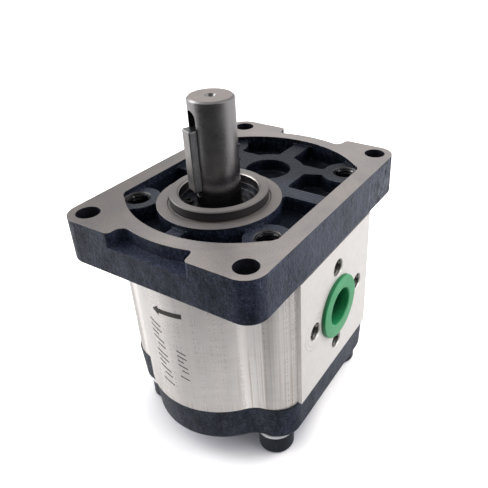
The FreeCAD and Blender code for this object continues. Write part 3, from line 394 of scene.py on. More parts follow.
# ------------------------------------------------------------------ pump body
def body_material():
    m = Mat("extruded_aluminium")
    ax = m.ma("ABSOLUTE", m.x)
    port = m.mul(m.step(ax, 45.42, 45.47), m.step(m.ma("ABSOLUTE", m.nx), 0.9, 0.97))
    port = m.mul(port, m.mul(m.step(m.y, -13.7, -13.4), m.step(m.y, 49.7, 49.4)))
    # draw lines, straight along the extrusion
    v1 = m.noise(m.vec(m.mul(m.x, 1.0), m.mul(m.y, 1.0), m.mul(m.z, 0.006)), 1.15, 2.5, 0.60)
    v2 = m.noise(m.vec(m.mul(m.x, 1.0), m.mul(m.y, 1.0), m.mul(m.z, 0.008)), 0.21, 3.0, 0.5)
    v3 = m.noise(m.vec(m.mul(m.x, 1.0), m.mul(m.y, 1.0), m.mul(m.z, 0.006)), 2.3, 1.0, 0.6)
    # light sanding across the round ends
    hz = m.noise(m.vec(m.mul(m.x, 0.16), m.mul(m.y, 0.16), m.z), 0.9, 2.0, 0.55)
    blot = m.noise(m.P, 0.09, 4.0, 0.55)
    k = m.add(m.add(1.0, m.lin(v1, 0.3, 0.7, -0.025, 0.025)), m.add(m.lin(v2, 0.3, 0.7, -0.03, 0.03), m.lin(v3, 0.3, 0.7, -0.012, 0.012)))
    k = m.add(k, m.add(m.lin(hz, 0.3, 0.7, -0.022, 0.022), m.lin(blot, 0.3, 0.7, -0.03, 0.03)))
    lobe = m.mul(m.step(ax, 22.0, 28.0), m.inv(port))
    sv = m.vec(m.mul(m.x, 1.0), m.mul(m.y, 1.0), m.mul(m.z, 0.006))
    st1 = m.noise(sv, 0.62, 3.0, 0.65)
    st2 = m.noise(sv, 1.9, 1.0, 0.6)
    k = m.add(k, m.mul(lobe, m.add(m.lin(st1, 0.32, 0.68, -0.10, 0.08), m.lin(st2, 0.3, 0.7, -0.07, 0.07))))
    k = m.sub(k, m.mul(m.mul(m.step(st1, 0.40, 0.33), m.add(m.mul(lobe, 0.8), 0.10)), 0.08))
    cloud = m.noise(m.vm("MULTIPLY", m.P, (0.6, 0.6, 1.0)), 0.16, 5.0, 0.65)
    k = m.add(k, m.lin(cloud, 0.3, 0.7, -0.055, 0.045))
    # painted highlight and shade: the hollows beside the round ends are brightened, the fronts of the corner lobes
    # darkened
    wander = m.add(ax, m.lin(v2, 0.3, 0.7, -0.5, 0.5))
    k = m.mul(k, m.add(1.0, m.mul(m.mul(m.step(wander, 25.0, 26.8), m.step(wander, 34.2, 32.8)), 0.32)))
    k = m.mul(k, m.sub(1.0, m.mul(m.mul(m.step(wander, 33.4, 34.8), m.step(wander, 41.0, 36.5)), 0.24)))
    base = m.mix(m.step(v2, 0.4, 0.62), (0.775, 0.750, 0.745), (0.795, 0.765, 0.750))
    col = m.bright(base, m.mn(k, 1.28))
    # warm, stronger streaks towards the sawn rear end
    low = m.step(m.add(m.z, m.lin(v1, 0.3, 0.7, -5.0, 5.0)), -71.0, -81.0)
    warm = m.mul(low, m.step(v1, 0.46, 0.62))
    cool = m.mul(low, m.step(v3, 0.5, 0.62))
    warm = m.mx(m.mul(warm, 0.85), m.mul(m.mul(lobe, m.step(st1, 0.47, 0.40)), m.step(m.add(m.z, m.lin(v2, 0.3, 0.7, -9.0, 9.0)), -46.0, -66.0)))
    col = m.mix(m.mul(warm, 0.60), col, (0.56, 0.455, 0.37))
    col = m.mix(m.mul(cool, 0.34), col, (0.92, 0.89, 0.85))
    # milled port faces
    arc = m.ma("SQRT", m.add(m.mul(m.sub(m.y, 140.0), m.sub(m.y, 140.0)), m.mul(m.add(m.z, 20.0), m.add(m.z, 20.0))))
    mill = m.noise(m.vec(m.mul(arc, 1.9), 0.0, 0.0), 1.0, 3.0, 0.65)
    mott = m.noise(m.P, 0.30, 5.0, 0.62)
    pk = m.add(m.add(1.0, m.lin(mill, 0.3, 0.7, -0.035, 0.035)), m.lin(mott, 0.3, 0.7, -0.045, 0.045))
    pcol = m.bright((0.70, 0.680, 0.672), pk)
    # a worn ring pair round the near screw hole, left by a washer
    wy, wz = m.sub(m.y, -2.0), m.add(m.z, 50.25)
    wr = m.ma("SQRT", m.add(m.mul(wy, wy), m.mul(wz, wz)))
    ring = m.mx(m.mul(m.step(wr, 5.9, 6.3), m.step(wr, 6.9, 6.5)), m.mul(m.step(wr, 7.7, 8.1), m.step(wr, 8.9, 8.5)))
    ring = m.mul(m.mul(ring, m.step(m.noise(m.P, 0.22, 2.0, 0.5), 0.40, 0.56)), port)
    pcol = m.mix(m.mul(ring, 0.40), pcol, (0.46, 0.43, 0.42))
    smudge = m.step(m.noise(m.P, 0.16, 3.0, 0.6, 0.6), 0.60, 0.72)
    pcol = m.mix(m.mul(smudge, 0.10), pcol, (0.55, 0.52, 0.50))
    col = m.mix(port, col, pcol)
    pits = m.step(m.noise(m.P, 0.9, 1.0, 0.4), 0.80, 0.82)
    col = m.mix(m.mul(pits, 0.5), col, (0.22, 0.20, 0.19))
    # the narrow flank beside the port faces
    flank = m.mul(m.step(ax, 43.45, 43.75), m.mul(m.inv(port), m.step(m.ma("ABSOLUTE", m.ny), 0.9, 0.97)))
    col = m.mix(flank, col, m.bright((0.96, 0.925, 0.91), pk))
    # screw holes and port bores: bare metal, darkened as painted shade
    hole = m.mul(m.mul(m.step(ax, 45.3, 44.9), m.step(ax, 30.0, 31.0)), m.mul(m.step(m.y, -8.0, -7.0), m.step(m.y, 44.0, 43.0)))
    zb = m.mul(m.step(m.z, -76.0, -75.0), m.step(m.z, -25.0, -26.0))
    hole = m.mul(m.mul(hole, zb), m.step(m.ma("ABSOLUTE", m.nx), 0.9, 0.6))
    col = m.mix(hole, col, (0.20, 0.19, 0.19))
    rough = m.add(0.31, m.add(m.lin(v1, 0.3, 0.7, -0.05, 0.05), m.lin(hz, 0.3, 0.7, -0.015, 0.015)))
    rough = m.mixf(port, rough, m.lin(mott, 0.3, 0.7, 0.44, 0.56))
    rough = m.mixf(hole, rough, 0.25)
    metal = m.mixf(port, 0.55, 0.25)
    metal = m.mixf(hole, metal, 0.9)
    metal = m.mul(metal, m.inv(flank))
    hgt = m.mixf(port, m.add(m.mul(v1, 0.6), m.add(m.mul(v3, 0.3), m.mul(hz, 0.06))), m.add(m.mul(mill, 0.5), m.mul(mott, 0.3)))
    n1 = m.bump(hgt, 0.016, 0.8)
    return m.set(color=col, metal=metal, rough=rough, normal=n1, tangent=(0.0, 0.0, 1.0), aniso=m.mixf(m.mx(port, hole), 0.7, 0.0), aniso_rot=0.0)


# ------------------------------------------------------------------ turned steel
def shaft_material():
    m = Mat("ground_steel_shaft")
    end = m.mul(m.step(m.nz, 0.75, 0.9), m.step(m.z, 40.0, 41.5))
    lines = m.noise(m.vec(0.0, 0.0, m.mul(m.z, 6.0)), 1.0, 3.0, 0.7)
    spiral = m.noise(m.vec(m.mul(m.x, 0.25), m.mul(m.y, 0.25), m.mul(m.z, 2.0)), 1.6, 3.0, 0.65)
    blot = m.noise(m.P, 0.16, 4.0, 0.6)
    k = m.add(m.add(1.0, m.lin(lines, 0.3, 0.7, -0.05, 0.05)), m.add(m.lin(blot, 0.3, 0.7, -0.07, 0.07), m.lin(spiral, 0.3, 0.7, -0.03, 0.03)))
    col = m.bright((0.250, 0.245, 0.252), k)
    # painted shade: below about z 13 the shaft is a little darker; it is also smoother there
    band = m.step(m.add(m.z, m.lin(spiral, 0.3, 0.7, -0.25, 0.25)), 13.2, 12.6)
    col = m.mix(m.mul(band, 0.20), col, (0.17, 0.17, 0.18))
    r = m.radius(0, 0)
    rings = m.noise(m.vec(m.mul(r, 3.4), 0.0, 0.0), 1.0, 3.0, 0.7)
    ecol = m.bright((0.42, 0.375, 0.365), m.add(m.add(1.0, m.lin(rings, 0.3, 0.7, -0.06, 0.06)), m.lin(blot, 0.3, 0.7, -0.08, 0.08)))
    drill = m.mul(m.step(r, 3.1, 2.9), m.step(m.z, 41.0, 42.2))
    col = m.mix(end, col, ecol)
    # keyway floor and walls, end milled; darkened as painted shade
    key_dir = (math.cos(math.radians(-115.0)), math.sin(math.radians(-115.0)), 0.0)
    along = m.vm("DOT_PRODUCT", m.P, key_dir)
    slotm = m.mul(m.step(r, 8.93, 8.85), m.mul(m.step(along, 4.8, 5.2), m.mul(m.step(m.z, 2.8, 3.2), m.step(m.z, 38.6, 38.4))))
    col = m.mix(m.mul(slotm, 0.8), col, (0.10, 0.095, 0.10))
    rough = m.add(0.24, m.add(m.lin(lines, 0.3, 0.7, -0.04, 0.05), m.lin(blot, 0.3, 0.7, -0.04, 0.05)))
    rough = m.mixf(m.mul(band, 0.3), rough, 0.19)
    rough = m.mixf(end, rough, m.lin(rings, 0.3, 0.7, 0.30, 0.40))
    h = m.mixf(end, m.add(m.mul(lines, 0.5), m.mul(spiral, 0.3)), m.mul(rings, 0.6))
    n1 = m.bump(h, 0.006, 0.8, m.bevel(0.25))
    geo = m.t.nodes.new("ShaderNodeNewGeometry")
    tan = m.vm("CROSS_PRODUCT", (0.0, 0.0, 1.0), geo.outputs["Normal"])
    return m.set(color=col, metal=1.0, rough=m.mixf(end, m.add(rough, 0.05), rough), normal=n1, aniso=m.mixf(end, 0.70, 0.0), tangent=tan)


def steel(name, col, rough, axis="z", fine=5.0, dist=0.01, metal=1.0, wear=None, bevel=0.2):
    m = Mat(name)
    c = {"x": m.x, "y": m.y, "z": m.z}[axis]
    lines = m.noise(m.vec(m.mul(m.x, fine if axis != "x" else 0.1), m.mul(m.y, fine if axis != "y" else 0.1), m.mul(m.z, fine if axis != "z" else 0.1)), 1.0, 3.0, 0.65)
    blot = m.noise(m.P, 0.45, 4.0, 0.6)
    k = m.add(m.add(1.0, m.lin(lines, 0.3, 0.7, -0.09, 0.09)), m.lin(blot, 0.3, 0.7, -0.14, 0.14))
    cc = m.bright(col, k)
    if wear:
        e = m.mul(m.edge(0.35, 6.0), m.lin(blot, 0.35, 0.6, 0.2, 1.0))
        cc = m.mix(m.mul(e, 0.7), cc, wear)
    rr = m.add(rough, m.add(m.lin(lines, 0.3, 0.7, -0.05, 0.05), m.lin(blot, 0.3, 0.7, -0.06, 0.06)))
    n1 = m.bump(m.add(m.mul(lines, 0.6), m.mul(blot, 0.4)), dist, 0.8, m.bevel(bevel))
    return m.set(color=cc, metal=metal, rough=rr, normal=n1)


def key_material():
    m = Mat("drawn_key_steel")
    kd = (math.cos(math.radians(-115.0)), math.sin(math.radians(-115.0)), 0.0)
    out = m.step(m.vm("DOT_PRODUCT", m.Nv, kd), 0.8, 0.95)
    lines = m.noise(m.vec(m.mul(m.x, 4.0), m.mul(m.y, 4.0), m.mul(m.z, 0.25)), 1.0, 3.0, 0.65)
    blot = m.noise(m.P, 0.35, 4.0, 0.6)
    k = m.add(m.add(1.0, m.lin(lines, 0.3, 0.7, -0.10, 0.10)), m.lin(blot, 0.3, 0.7, -0.14, 0.14))
    col = m.bright(m.mix(out, (0.20, 0.205, 0.215), (0.215, 0.210, 0.208)), k)
    e = m.edge(0.5, 4.0)
    col = m.mix(m.mul(e, 0.35), col, (0.42, 0.41, 0.40))
    n1 = m.bump(m.add(lines, m.mul(blot, 0.5)), 0.014, 0.8, m.bevel(0.45))
    return m.set(color=col, metal=1.0, rough=m.add(0.34, m.lin(lines, 0.3, 0.7, -0.05, 0.08)), normal=n1)


def plug_material(name):
    m = Mat(name)
    mott = m.noise(m.P, 0.55, 4.0, 0.55)
    r = m.ma("SQRT", m.add(m.mul(m.sub(m.y, 18.0), m.sub(m.y, 18.0)), m.mul(m.add(m.z, 50.25), m.add(m.z, 50.25))))
    turn = m.noise(m.vec(m.mul(r, 1.6), 0.0, m.mul(m.x, 1.6)), 1.0, 2.0, 0.5)
    flow = m.noise(m.vm("MULTIPLY", m.P, (0.25, 0.05, 0.12)), 1.0, 3.0, 0.6, 0.8)
    col = m.mix(m.step(flow, 0.35, 0.68), (0.020, 0.275, 0.100), (0.036, 0.330, 0.132))
    col = m.bright(col, m.add(m.add(1.0, m.lin(mott, 0.3, 0.7, -0.05, 0.05)), m.lin(turn, 0.3, 0.7, -0.04, 0.04)))
    e = m.edge(0.5, 5.0)
    col = m.mix(m.mul(e, 0.30), col, (0.20, 0.58, 0.33))
    dust = m.step(m.noise(m.P, 1.6, 3.0, 0.6), 0.68, 0.76)
    col = m.mix(m.mul(dust, 0.25), col, (0.45, 0.62, 0.50))
    ax = m.ma("ABSOLUTE", m.x)
    # painted shade: the plug's side wall is darkened
    sidewall = m.mul(m.mul(m.step(ax, 47.25, 47.0), m.step(r, 10.5, 10.8)), m.step(m.ma("ABSOLUTE", m.nx), 0.7, 0.3))
    col = m.mix(m.mul(sidewall, 0.62), col, (0.004, 0.085, 0.030))
    # painted shade: the inside of the plug's recess is darkened further
    deep = m.mul(m.step(ax, 46.8, 41.0), m.step(r, 9.2, 8.9))
    col = m.mix(m.mul(deep, 0.72), col, (0.002, 0.040, 0.022))
    pale = m.mul(m.step(m.add(m.z, m.lin(flow, 0.3, 0.7, -4.0, 4.0)), -50.0, -62.0), m.step(r, 8.8, 9.2))
    col = m.mix(m.mul(m.mul(pale, m.inv(sidewall)), 0.28), col, (0.120, 0.340, 0.180))
    n1 = m.bump(m.add(m.mul(mott, 0.6), m.mul(turn, 0.6)), 0.05, 0.7, m.bevel(0.45))
    return m.set(color=col, rough=m.lin(mott, 0.3, 0.7, 0.34, 0.48), normal=n1, spec=0.45, sss=0.12, sss_r=(0.4, 1.0, 0.5), sss_s=0.0012)


def rubber_material(name, col=(0.014, 0.014, 0.016), rough=0.42):
    m = Mat(name)
    a = m.noise(m.P, 1.8, 4.0, 0.6)
    b = m.noise(m.P, 0.3, 3.0, 0.5)
    cc = m.mix(m.lin(b, 0.3, 0.7, 0.0, 1.0), col, tuple(min(1.0, c * 1.9 + 0.004) for c in col))
    n1 = m.bump(m.add(m.mul(a, 0.6), b), 0.04, 0.8, m.bevel(0.3))
    return m.set(color=cc, rough=m.lin(a, 0.3, 0.7, rough - 0.1, rough + 0.1), normal=n1, spec=0.5)


def plastic_material(name, col, rough=0.45):
    m = Mat(name)
    a = m.noise(m.P, 1.2, 4.0, 0.6)
    b = m.noise(m.P, 0.25, 3.0, 0.5)
    cc = m.bright(col, m.add(m.add(1.0, m.lin(a, 0.3, 0.7, -0.05, 0.05)), m.lin(b, 0.3, 0.7, -0.08, 0.08)))
    n1 = m.bump(m.add(m.mul(a, 0.5), b), 0.04, 0.8, m.bevel(0.25))
    return m.set(color=cc, rough=m.lin(a, 0.3, 0.7, rough - 0.08, rough + 0.08), normal=n1)


def screw_material():
    m = Mat("black_oxide_screw")
    head = m.step(m.z, -101.9, -102.1)
    a = m.noise(m.P, 0.9, 5.0, 0.65)
    lines = m.noise(m.vec(m.mul(m.x, 0.3), m.mul(m.y, 0.3), m.mul(m.z, 5.0)), 1.0, 2.0, 0.6)
    col = m.mix(m.step(a, 0.35, 0.7), (0.008, 0.009, 0.015), (0.020, 0.023, 0.034))
    e = m.mul(m.edge(0.5, 5.0), m.lin(a, 0.35, 0.65, 0.2, 1.0))
    col = m.mix(m.mul(e, 0.35), col, (0.16, 0.16, 0.17))
    n1 = m.bump(m.add(m.mul(a, 0.6), m.mul(lines, 0.4)), 0.03, 0.8, m.bevel(0.4))
    return m.set(color=col, metal=0.15, rough=m.lin(a, 0.3, 0.7, 0.30, 0.46), normal=n1, spec=0.34, tint=(0.72, 0.82, 1.0, 1.0))


M_FRONT = front_cover_material()
M_REAR = rear_cover_material()
M_BODY = body_material()
M_SHAFT = shaft_material()
M_KEY = key_material()
M_PLUG = plug_material("green_polyethylene")
M_SCREW = screw_material()
M_WASHER = steel("bright_zinc_washer", (0.74, 0.755, 0.78), 0.34, "z", 3.0, 0.012, metal=0.45, wear=(0.88, 0.89, 0.91), bevel=0.25)
M_RING = steel("phosphated_spring_steel", (0.060, 0.062, 0.070), 0.24, "z", 3.0, 0.012, metal=0.8, wear=(0.30, 0.30, 0.32), bevel=0.15)
M_GEAR = steel("hardened_gear_steel", (0.44, 0.43, 0.425), 0.26, "z", 3.6, 0.010, wear=(0.60, 0.59, 0.58), bevel=0.2)
M_SPRING = steel("bright_spring_steel", (0.52, 0.52, 0.53), 0.22, "x", 3.0, 0.008, bevel=0.1)
M_DOWEL = steel("ground_dowel_steel", (0.50, 0.50, 0.51), 0.20, "z", 5.0, 0.006, wear=(0.65, 0.65, 0.66), bevel=0.2)
M_BLOCK = steel("machined_block_aluminium", (0.70, 0.69, 0.675), 0.36, "y", 3.0, 0.014, wear=(0.82, 0.81, 0.80), bevel=0.25)
M_BUSH = steel("lined_bronze_bush", (0.42, 0.27, 0.14), 0.36, "z", 3.0, 0.014, wear=(0.60, 0.42, 0.25), bevel=0.15)
M_RUBBER = rubber_material("nitrile_seal")
M_CASE = rubber_material("nitrile_seal_case", (0.012, 0.013, 0.019), 0.24)
M_LIP = rubber_material("nitrile_seal_lip", (0.010, 0.010, 0.012), 0.30)
M_BACK = plastic_material("white_backup_plastic", (0.80, 0.78, 0.70))

dress("front_cover", M_FRONT)
dress("rear_cover", M_REAR)
dress("pump_body", M_BODY)
dress("drive_gear_shaft", M_SHAFT)
dress("driven_gear_shaft", M_GEAR)
dress("shaft_key", M_KEY)
dress("inlet_plug", M_PLUG)
dress("outlet_plug", M_PLUG)
dress("cover_screws", M_SCREW)
dress("screw_washers", M_WASHER)
dress("retaining_ring", M_RING)
dress("shaft_seal_case", M_CASE)
dress("shaft_seal_lip", M_LIP)
dress("shaft_seal_spring", M_SPRING)
for n in ("front_dowel_pins", "rear_dowel_pins"):
    dress(n, M_DOWEL)
for n in ("front_bearing_block", "rear_bearing_block"):
    dress(n, M_BLOCK)
for n in ("front_drive_bush", "front_driven_bush", "rear_drive_bush", "rear_driven_bush"):
    dress(n, M_BUSH)
for n in ("front_pressure_seal", "rear_pressure_seal", "front_body_seal", "rear_body_seal"):
    dress(n, M_RUBBER)
for n in ("front_backup_strip", "rear_backup_strip"):
    dress(n, M_BACK)


# ------------------------------------------------------------------ pieces
def piece(name, verts, faces, mat, body, smooth=True):
    me = bpy.data.meshes.new(name)
    me.from_pydata([tuple(c / 1000.0 for c in v) for v in verts], [], faces)
    me.validate()
    me.update()
    if smooth:
        for p in me.polygons:
            p.use_smooth = True
    o = bpy.data.objects.new(name, me)
    scene.collection.objects.link(o)
    me.materials.append(mat)
    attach(o, body)
    return o


def thread(name, origin, axis, depth, r_root, r_crest, pitch, mat, seg=56, start=0.0):
    """The inside thread of a tapped hole: one helical surface from the mouth down the hole."""
    a = Vector(axis).normalized()
    u = Vector((0, 0, 1)) if abs(a.z) < 0.5 else Vector((1, 0, 0))
    u = (u - a * u.dot(a)).normalized()
    w = a.cross(u)
    prof = [(0.00, r_root), (0.06, r_root), (0.40, r_crest), (0.60, r_crest), (0.94, r_root)]
    turns = int(math.ceil((depth - start) / pitch)) + 2
    verts, faces = [], []
    cols = len(prof)
    steps = turns * seg + 1
    for i in range(steps):
        th = 2 * math.pi * i / seg
        base = start - pitch * 1.0 + pitch * i / seg
        for q, r in prof:
            d = min(max(base + q * pitch, start), depth)
            p = Vector(origin) - a * d + (u * math.cos(th) + w * math.sin(th)) * r
            verts.append(tuple(p))
    for i in range(steps - 1):
        for j in range(cols - 1):
            p, q = i * cols + j, (i + 1) * cols + j
            faces.append((p, p + 1, q + 1, q))
        if i + seg < steps - 1:
            p, q = i * cols + cols - 1, (i + 1) * cols + cols - 1
            p2, q2 = (i + seg) * cols, (i + seg + 1) * cols
            faces.append((p, p2, q2, q))
    return piece(name, verts, faces, mat, "pump")


def thread_material(name, col, axis, mouth, depth, rough):
    """cut thread: brighter near the mouth and darkened further down the hole as painted shade"""
    m = Mat(name)
    d = m.sub(mouth, m.ma("ABSOLUTE", m.x if axis == "x" else m.z))
    if axis == "z":
        d = m.sub(m.mul(m.z, -1.0), mouth)
    blot = m.noise(m.P, 0.9, 3.0, 0.6)
    lines = m.noise(m.vm("MULTIPLY", m.P, (0.6, 2.5, 2.5) if axis == "x" else (2.5, 2.5, 0.6)), 1.0, 2.0, 0.6)
    k = m.mul(m.step(m.add(d, m.lin(blot, 0.3, 0.7, -0.6, 0.6)), depth, 0.0, 0.07, 1.0), m.add(1.0, m.lin(lines, 0.3, 0.7, -0.15, 0.15)))
    n1 = m.bump(m.add(lines, blot), 0.012, 0.7, m.bevel(0.1))
    return m.set(color=m.bright(col, k), metal=1.0, rough=m.lin(blot, 0.3, 0.7, rough - 0.05, rough + 0.07), normal=n1)


M_THREAD_IRON = thread_material("tapped_iron_thread", (0.095, 0.096, 0.105), "z", 2.4, 4.6, 0.20)
M_THREAD_ALU = thread_material("tapped_aluminium_thread", (0.42, 0.41, 0.40), "x", 45.3, 5.0, 0.24)
k = 0
for sx in (-1, 1):
    for yy in (-13.8, 49.8):
        k += 1
        thread("cover_thread_%d" % k, (sx * 32.0, yy, -2.5), (0, 0, 1), 5.4, 4.94, 4.28, 1.5, M_THREAD_IRON)
for k in range(4):
    an = math.radians(90 * k)
    thread("inlet_thread_%d" % (k + 1), (45.2, 18 + 20 * math.cos(an), -50.25 + 20 * math.sin(an)), (1, 0, 0), 12.2, 3.95, 3.36, 1.25, M_THREAD_ALU)
    thread("outlet_thread_%d" % (k + 1), (-45.2, 18 + 15 * math.cos(an), -50.25 + 15 * math.sin(an)), (-1, 0, 0), 12.2, 2.96, 2.50, 1.0, M_THREAD_ALU)


def ink_material():
    m = Mat("dark_marking")
    a = m.noise(m.P, 3.2, 4.0, 0.65)
    b = m.noise(m.P, 0.8, 3.0, 0.55)
    col = m.mix(m.step(a, 0.48, 0.68), (0.030, 0.029, 0.029), (0.070, 0.067, 0.065))
    n1 = m.bump(m.add(a, b), 0.012, 0.6)
    return m.set(color=col, rough=m.lin(b, 0.3, 0.7, 0.45, 0.62), normal=n1, metal=0.15)


M_INK = ink_material()
BODY_R = 35.1
BODY_CY = -4.1


def on_round(s, z, lift=0.03):
    """a point on the pump body's front round end, s mm along it from the middle"""
    an = -math.pi / 2 + s / BODY_R
    r = BODY_R + lift
    return (r * math.cos(an), BODY_CY + r * math.sin(an), z)


def wrapped(name, outlines, mat, lift=0.035, cell=0.5):
    """flat outlines in (s, z), laid on the round end as thin raised ink with closed sides"""
    bm = bmesh.new()
    for pts in outlines:
        vs = [bm.verts.new((x, 0, z)) for x, z in pts]
        bm.faces.new(vs)
    bmesh.ops.triangulate(bm, faces=bm.faces[:])
    x0 = min(v.co.x for v in bm.verts)
    x1 = max(v.co.x for v in bm.verts)
    s = math.ceil(x0 / cell) * cell
    while s < x1:
        geom = bm.verts[:] + bm.edges[:] + bm.faces[:]
        bmesh.ops.bisect_plane(bm, geom=geom, plane_co=(s, 0, 0), plane_no=(1, 0, 0), dist=1e-5)
        s += cell
    top = bm.faces[:]
    bmesh.ops.recalc_face_normals(bm, faces=top)
    verts = [(v.co.x, v.co.z) for v in bm.verts]
    idx = {v: i for i, v in enumerate(bm.verts)}
    faces = []
    nv = len(verts)
    for f in bm.faces:
        ids = [idx[v] for v in f.verts]
        a, b, c = [verts[i] for i in ids[:3]]
        if (b[0] - a[0]) * (c[1] - a[1]) - (b[1] - a[1]) * (c[0] - a[0]) < 0:
            ids.reverse()
        faces.append(tuple(ids))
    for e in bm.edges:
        if len(e.link_faces) == 1:
            i, j = idx[e.verts[0]], idx[e.verts[1]]
            faces.append((i, j, j + nv, i + nv))
    bm.free()
    v3 = [on_round(x, z, lift) for x, z in verts] + [on_round(x, z, -0.02) for x, z in verts]
    o = piece(name, v3, faces, mat, "pump", smooth=False)
    return o


arrow = [(-6.7, -32.2), (-3.5, -29.8), (-3.6, -30.95), (7.7, -30.2), (7.7, -32.5), (-3.6, -33.15), (-3.3, -34.4)]
wrapped("turning_arrow", [arrow], M_INK)


# two rows of plain slanted strokes where a maker's marking would be printed
def strokes(z_top, z_bot, s_left, width, drift, lean, pitch, thick, seed):
    rnd = random.Random(seed)
    out = []
    z = z_top
    i = 0
    while z > z_bot:
        base = s_left + (z_top - z) * drift
        p, q = ((0.0, 1.0), (0.0, 1.0), (0.0, 0.62), (0.0, 1.0), (0.30, 1.0))[i % 5]
        a, b = base + width * p, base + width * q
        za, zb = z - lean * p, z - lean * q
        out.append([(a, za), (b, zb), (b, zb - thick), (a, za - thick)])
        z -= pitch * (1.0, 1.0, 1.0, 1.0, 1.55)[i % 5]
        i += 1
    return out


wrapped("marking_row_1", strokes(-38.3, -69.6, -9.8, 5.9, 0.095, 1.9, 2.75, 0.66, 3), M_INK, lift=0.03)
wrapped("marking_row_2", strokes(-49.6, -64.6, 3.0, 4.2, 0.02, 1.4, 2.45, 0.58, 5), M_INK, lift=0.03)


# ------------------------------------------------------------------ floor and light
def floor_material():
    """pale and matt to the eye; darker to the light that bounces back up, as if black cards stood in front"""
    m = Mat("pale_floor")
    a = m.noise(m.P, 0.02, 3.0, 0.5)
    seen = m.mix(m.lin(a, 0.3, 0.7, 0.0, 1.0), (FLOOR_SEEN,) * 3, (FLOOR_SEEN * 1.02,) * 3)
    # painted contact shadow: as seen, the floor is darkened where ambient occlusion finds the pump close by, less so
    # and a little lighter towards the right
    ao = m.t.nodes.new("ShaderNodeAmbientOcclusion")
    ao.samples = 12
    ao.inputs["Distance"].default_value = 0.050
    away = m.step(m.vm("DOT_PRODUCT", m.P, (0.93, 0.37, 0.0)), 34.0, 46.0)
    shade = m.mul(m.inv(m.step(ao.outputs["AO"], 0.20, 0.92)), m.sub(1.0, m.mul(away, 0.72)))
    seen = m.mix(shade, m.bright(seen, m.add(1.0, m.mul(away, 0.08))), (FLOOR_SEEN * 0.48, FLOOR_SEEN * 0.48, FLOOR_SEEN * 0.53))
    lp = m.t.nodes.new("ShaderNodeLightPath")
    # what the pump mirrors: pale close by, darker straight in front of its near end and further away
    dx, dy = m.x, m.add(m.y, 20.0)
    r = m.ma("SQRT", m.add(m.mul(dx, dx), m.mul(dy, dy)))
    az = m.ma("ARCTAN2", dx, m.mul(dy, -1.0))
    shade = m.mul(m.mul(m.step(az, -0.85, -0.42), m.step(az, 1.08, 0.95)), m.step(r, 20.0, 45.0))
    right = m.mul(m.mul(m.step(az, 1.13, 1.24), m.step(az, 2.3, 1.7)), m.step(r, 20.0, 45.0))
    front = m.vm("DOT_PRODUCT", m.P, (0.51, -0.86, 0.0))
    far = m.step(front, 125.0, 190.0)
    col = m.mix(shade, (FLOOR_SIDE,) * 3, m.mix(m.step(r, 62.0, 96.0), (FLOOR_CLOSE,) * 3, (FLOOR_NEAR,) * 3))
    col = m.mix(right, col, (FLOOR_RIGHT,) * 3)
    col = m.mix(far, col, (FLOOR_FRONT,) * 3)
    col = m.mix(lp.outputs["Is Camera Ray"], col, seen)
    m.set(color=col, rough=0.9, spec=0.0)
    # seen from underneath, the floor lets the underside of the pump show
    geo = m.t.nodes.new("ShaderNodeNewGeometry")
    clear = m.t.nodes.new("ShaderNodeBsdfTransparent")
    both = m.t.nodes.new("ShaderNodeMixShader")
    m.put(both.inputs[0], geo.outputs["Backfacing"])
    m.put(both.inputs[1], m.b.outputs[0])
    m.put(both.inputs[2], clear.outputs[0])
    m.put(m.out.inputs[0], both.outputs[0])
    return m.m


FLOOR_SEEN = 1.58
FLOOR_SIDE = 0.95
FLOOR_NEAR = 0.40
FLOOR_CLOSE = 0.56
FLOOR_RIGHT = 0.46
FLOOR_FRONT = 0.08
FLOOR_Z = size["cad"]["low"][2] - 0.0002
me = bpy.data.meshes.new("floor")
s = 4.0
me.from_pydata([(-s, -s, FLOOR_Z), (s, -s, FLOOR_Z), (s, s, FLOOR_Z), (-s, s, FLOOR_Z)], [], [(0, 1, 2, 3)])
floor = bpy.data.objects.new("floor", me)
scene.collection.objects.link(floor)
me.materials.append(floor_material())
floor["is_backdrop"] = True

FILL = 1.2
WORLD_FRONT_HIGH = 0.14
WORLD_SIDE, WORLD_FRONT, WORLD_TOP, STRIP_RIGHT, STRIP_LEFT = 0.80, 0.022, 0.75, 0.9, 0.85
w = bpy.data.worlds.new("studio")
scene.world = w
w.use_nodes = True
t = w.node_tree
t.nodes.clear()
wout = t.nodes.new("ShaderNodeOutputWorld")
bg_cam = t.nodes.new("ShaderNodeBackground")
bg_cam.inputs[0].default_value = (1, 1, 1, 1)
bg_cam.inputs[1].default_value = 1.05
bg = t.nodes.new("ShaderNodeBackground")
mixs = t.nodes.new("ShaderNodeMixShader")
lp = t.nodes.new("ShaderNodeLightPath")
t.links.new(lp.outputs["Is Camera Ray"], mixs.inputs[0])
t.links.new(bg.outputs[0], mixs.inputs[1])
t.links.new(bg_cam.outputs[0], mixs.inputs[2])
t.links.new(mixs.outputs[0], wout.inputs[0])
tcw = t.nodes.new("ShaderNodeTexCoord")


def wn(kind, **kw):
    n = t.nodes.new(kind)
    for k_, v_ in kw.items():
        setattr(n, k_, v_)
    return n


def wput(sock, v):
    if isinstance(v, bpy.types.NodeSocket):
        t.links.new(v, sock)
    else:
        sock.default_value = v


def wmath(op, a, b):
    n = wn("ShaderNodeMath", operation=op)
    wput(n.inputs[0], a), wput(n.inputs[1], b)
    return n.outputs[0]


def wstep(v, a, b, lo_, hi_):
    n = wn("ShaderNodeMapRange", interpolation_type="SMOOTHSTEP")
    wput(n.inputs["Value"], v)
    for nm, x_ in (("From Min", a), ("From Max", b), ("To Min", lo_), ("To Max", hi_)):
        n.inputs[nm].default_value = x_
    return n.outputs[0]


def wdot(vec, d):
    n = wn("ShaderNodeVectorMath", operation="DOT_PRODUCT")
    wput(n.inputs[0], vec)
    n.inputs[1].default_value = d
    return n.outputs["Value"]


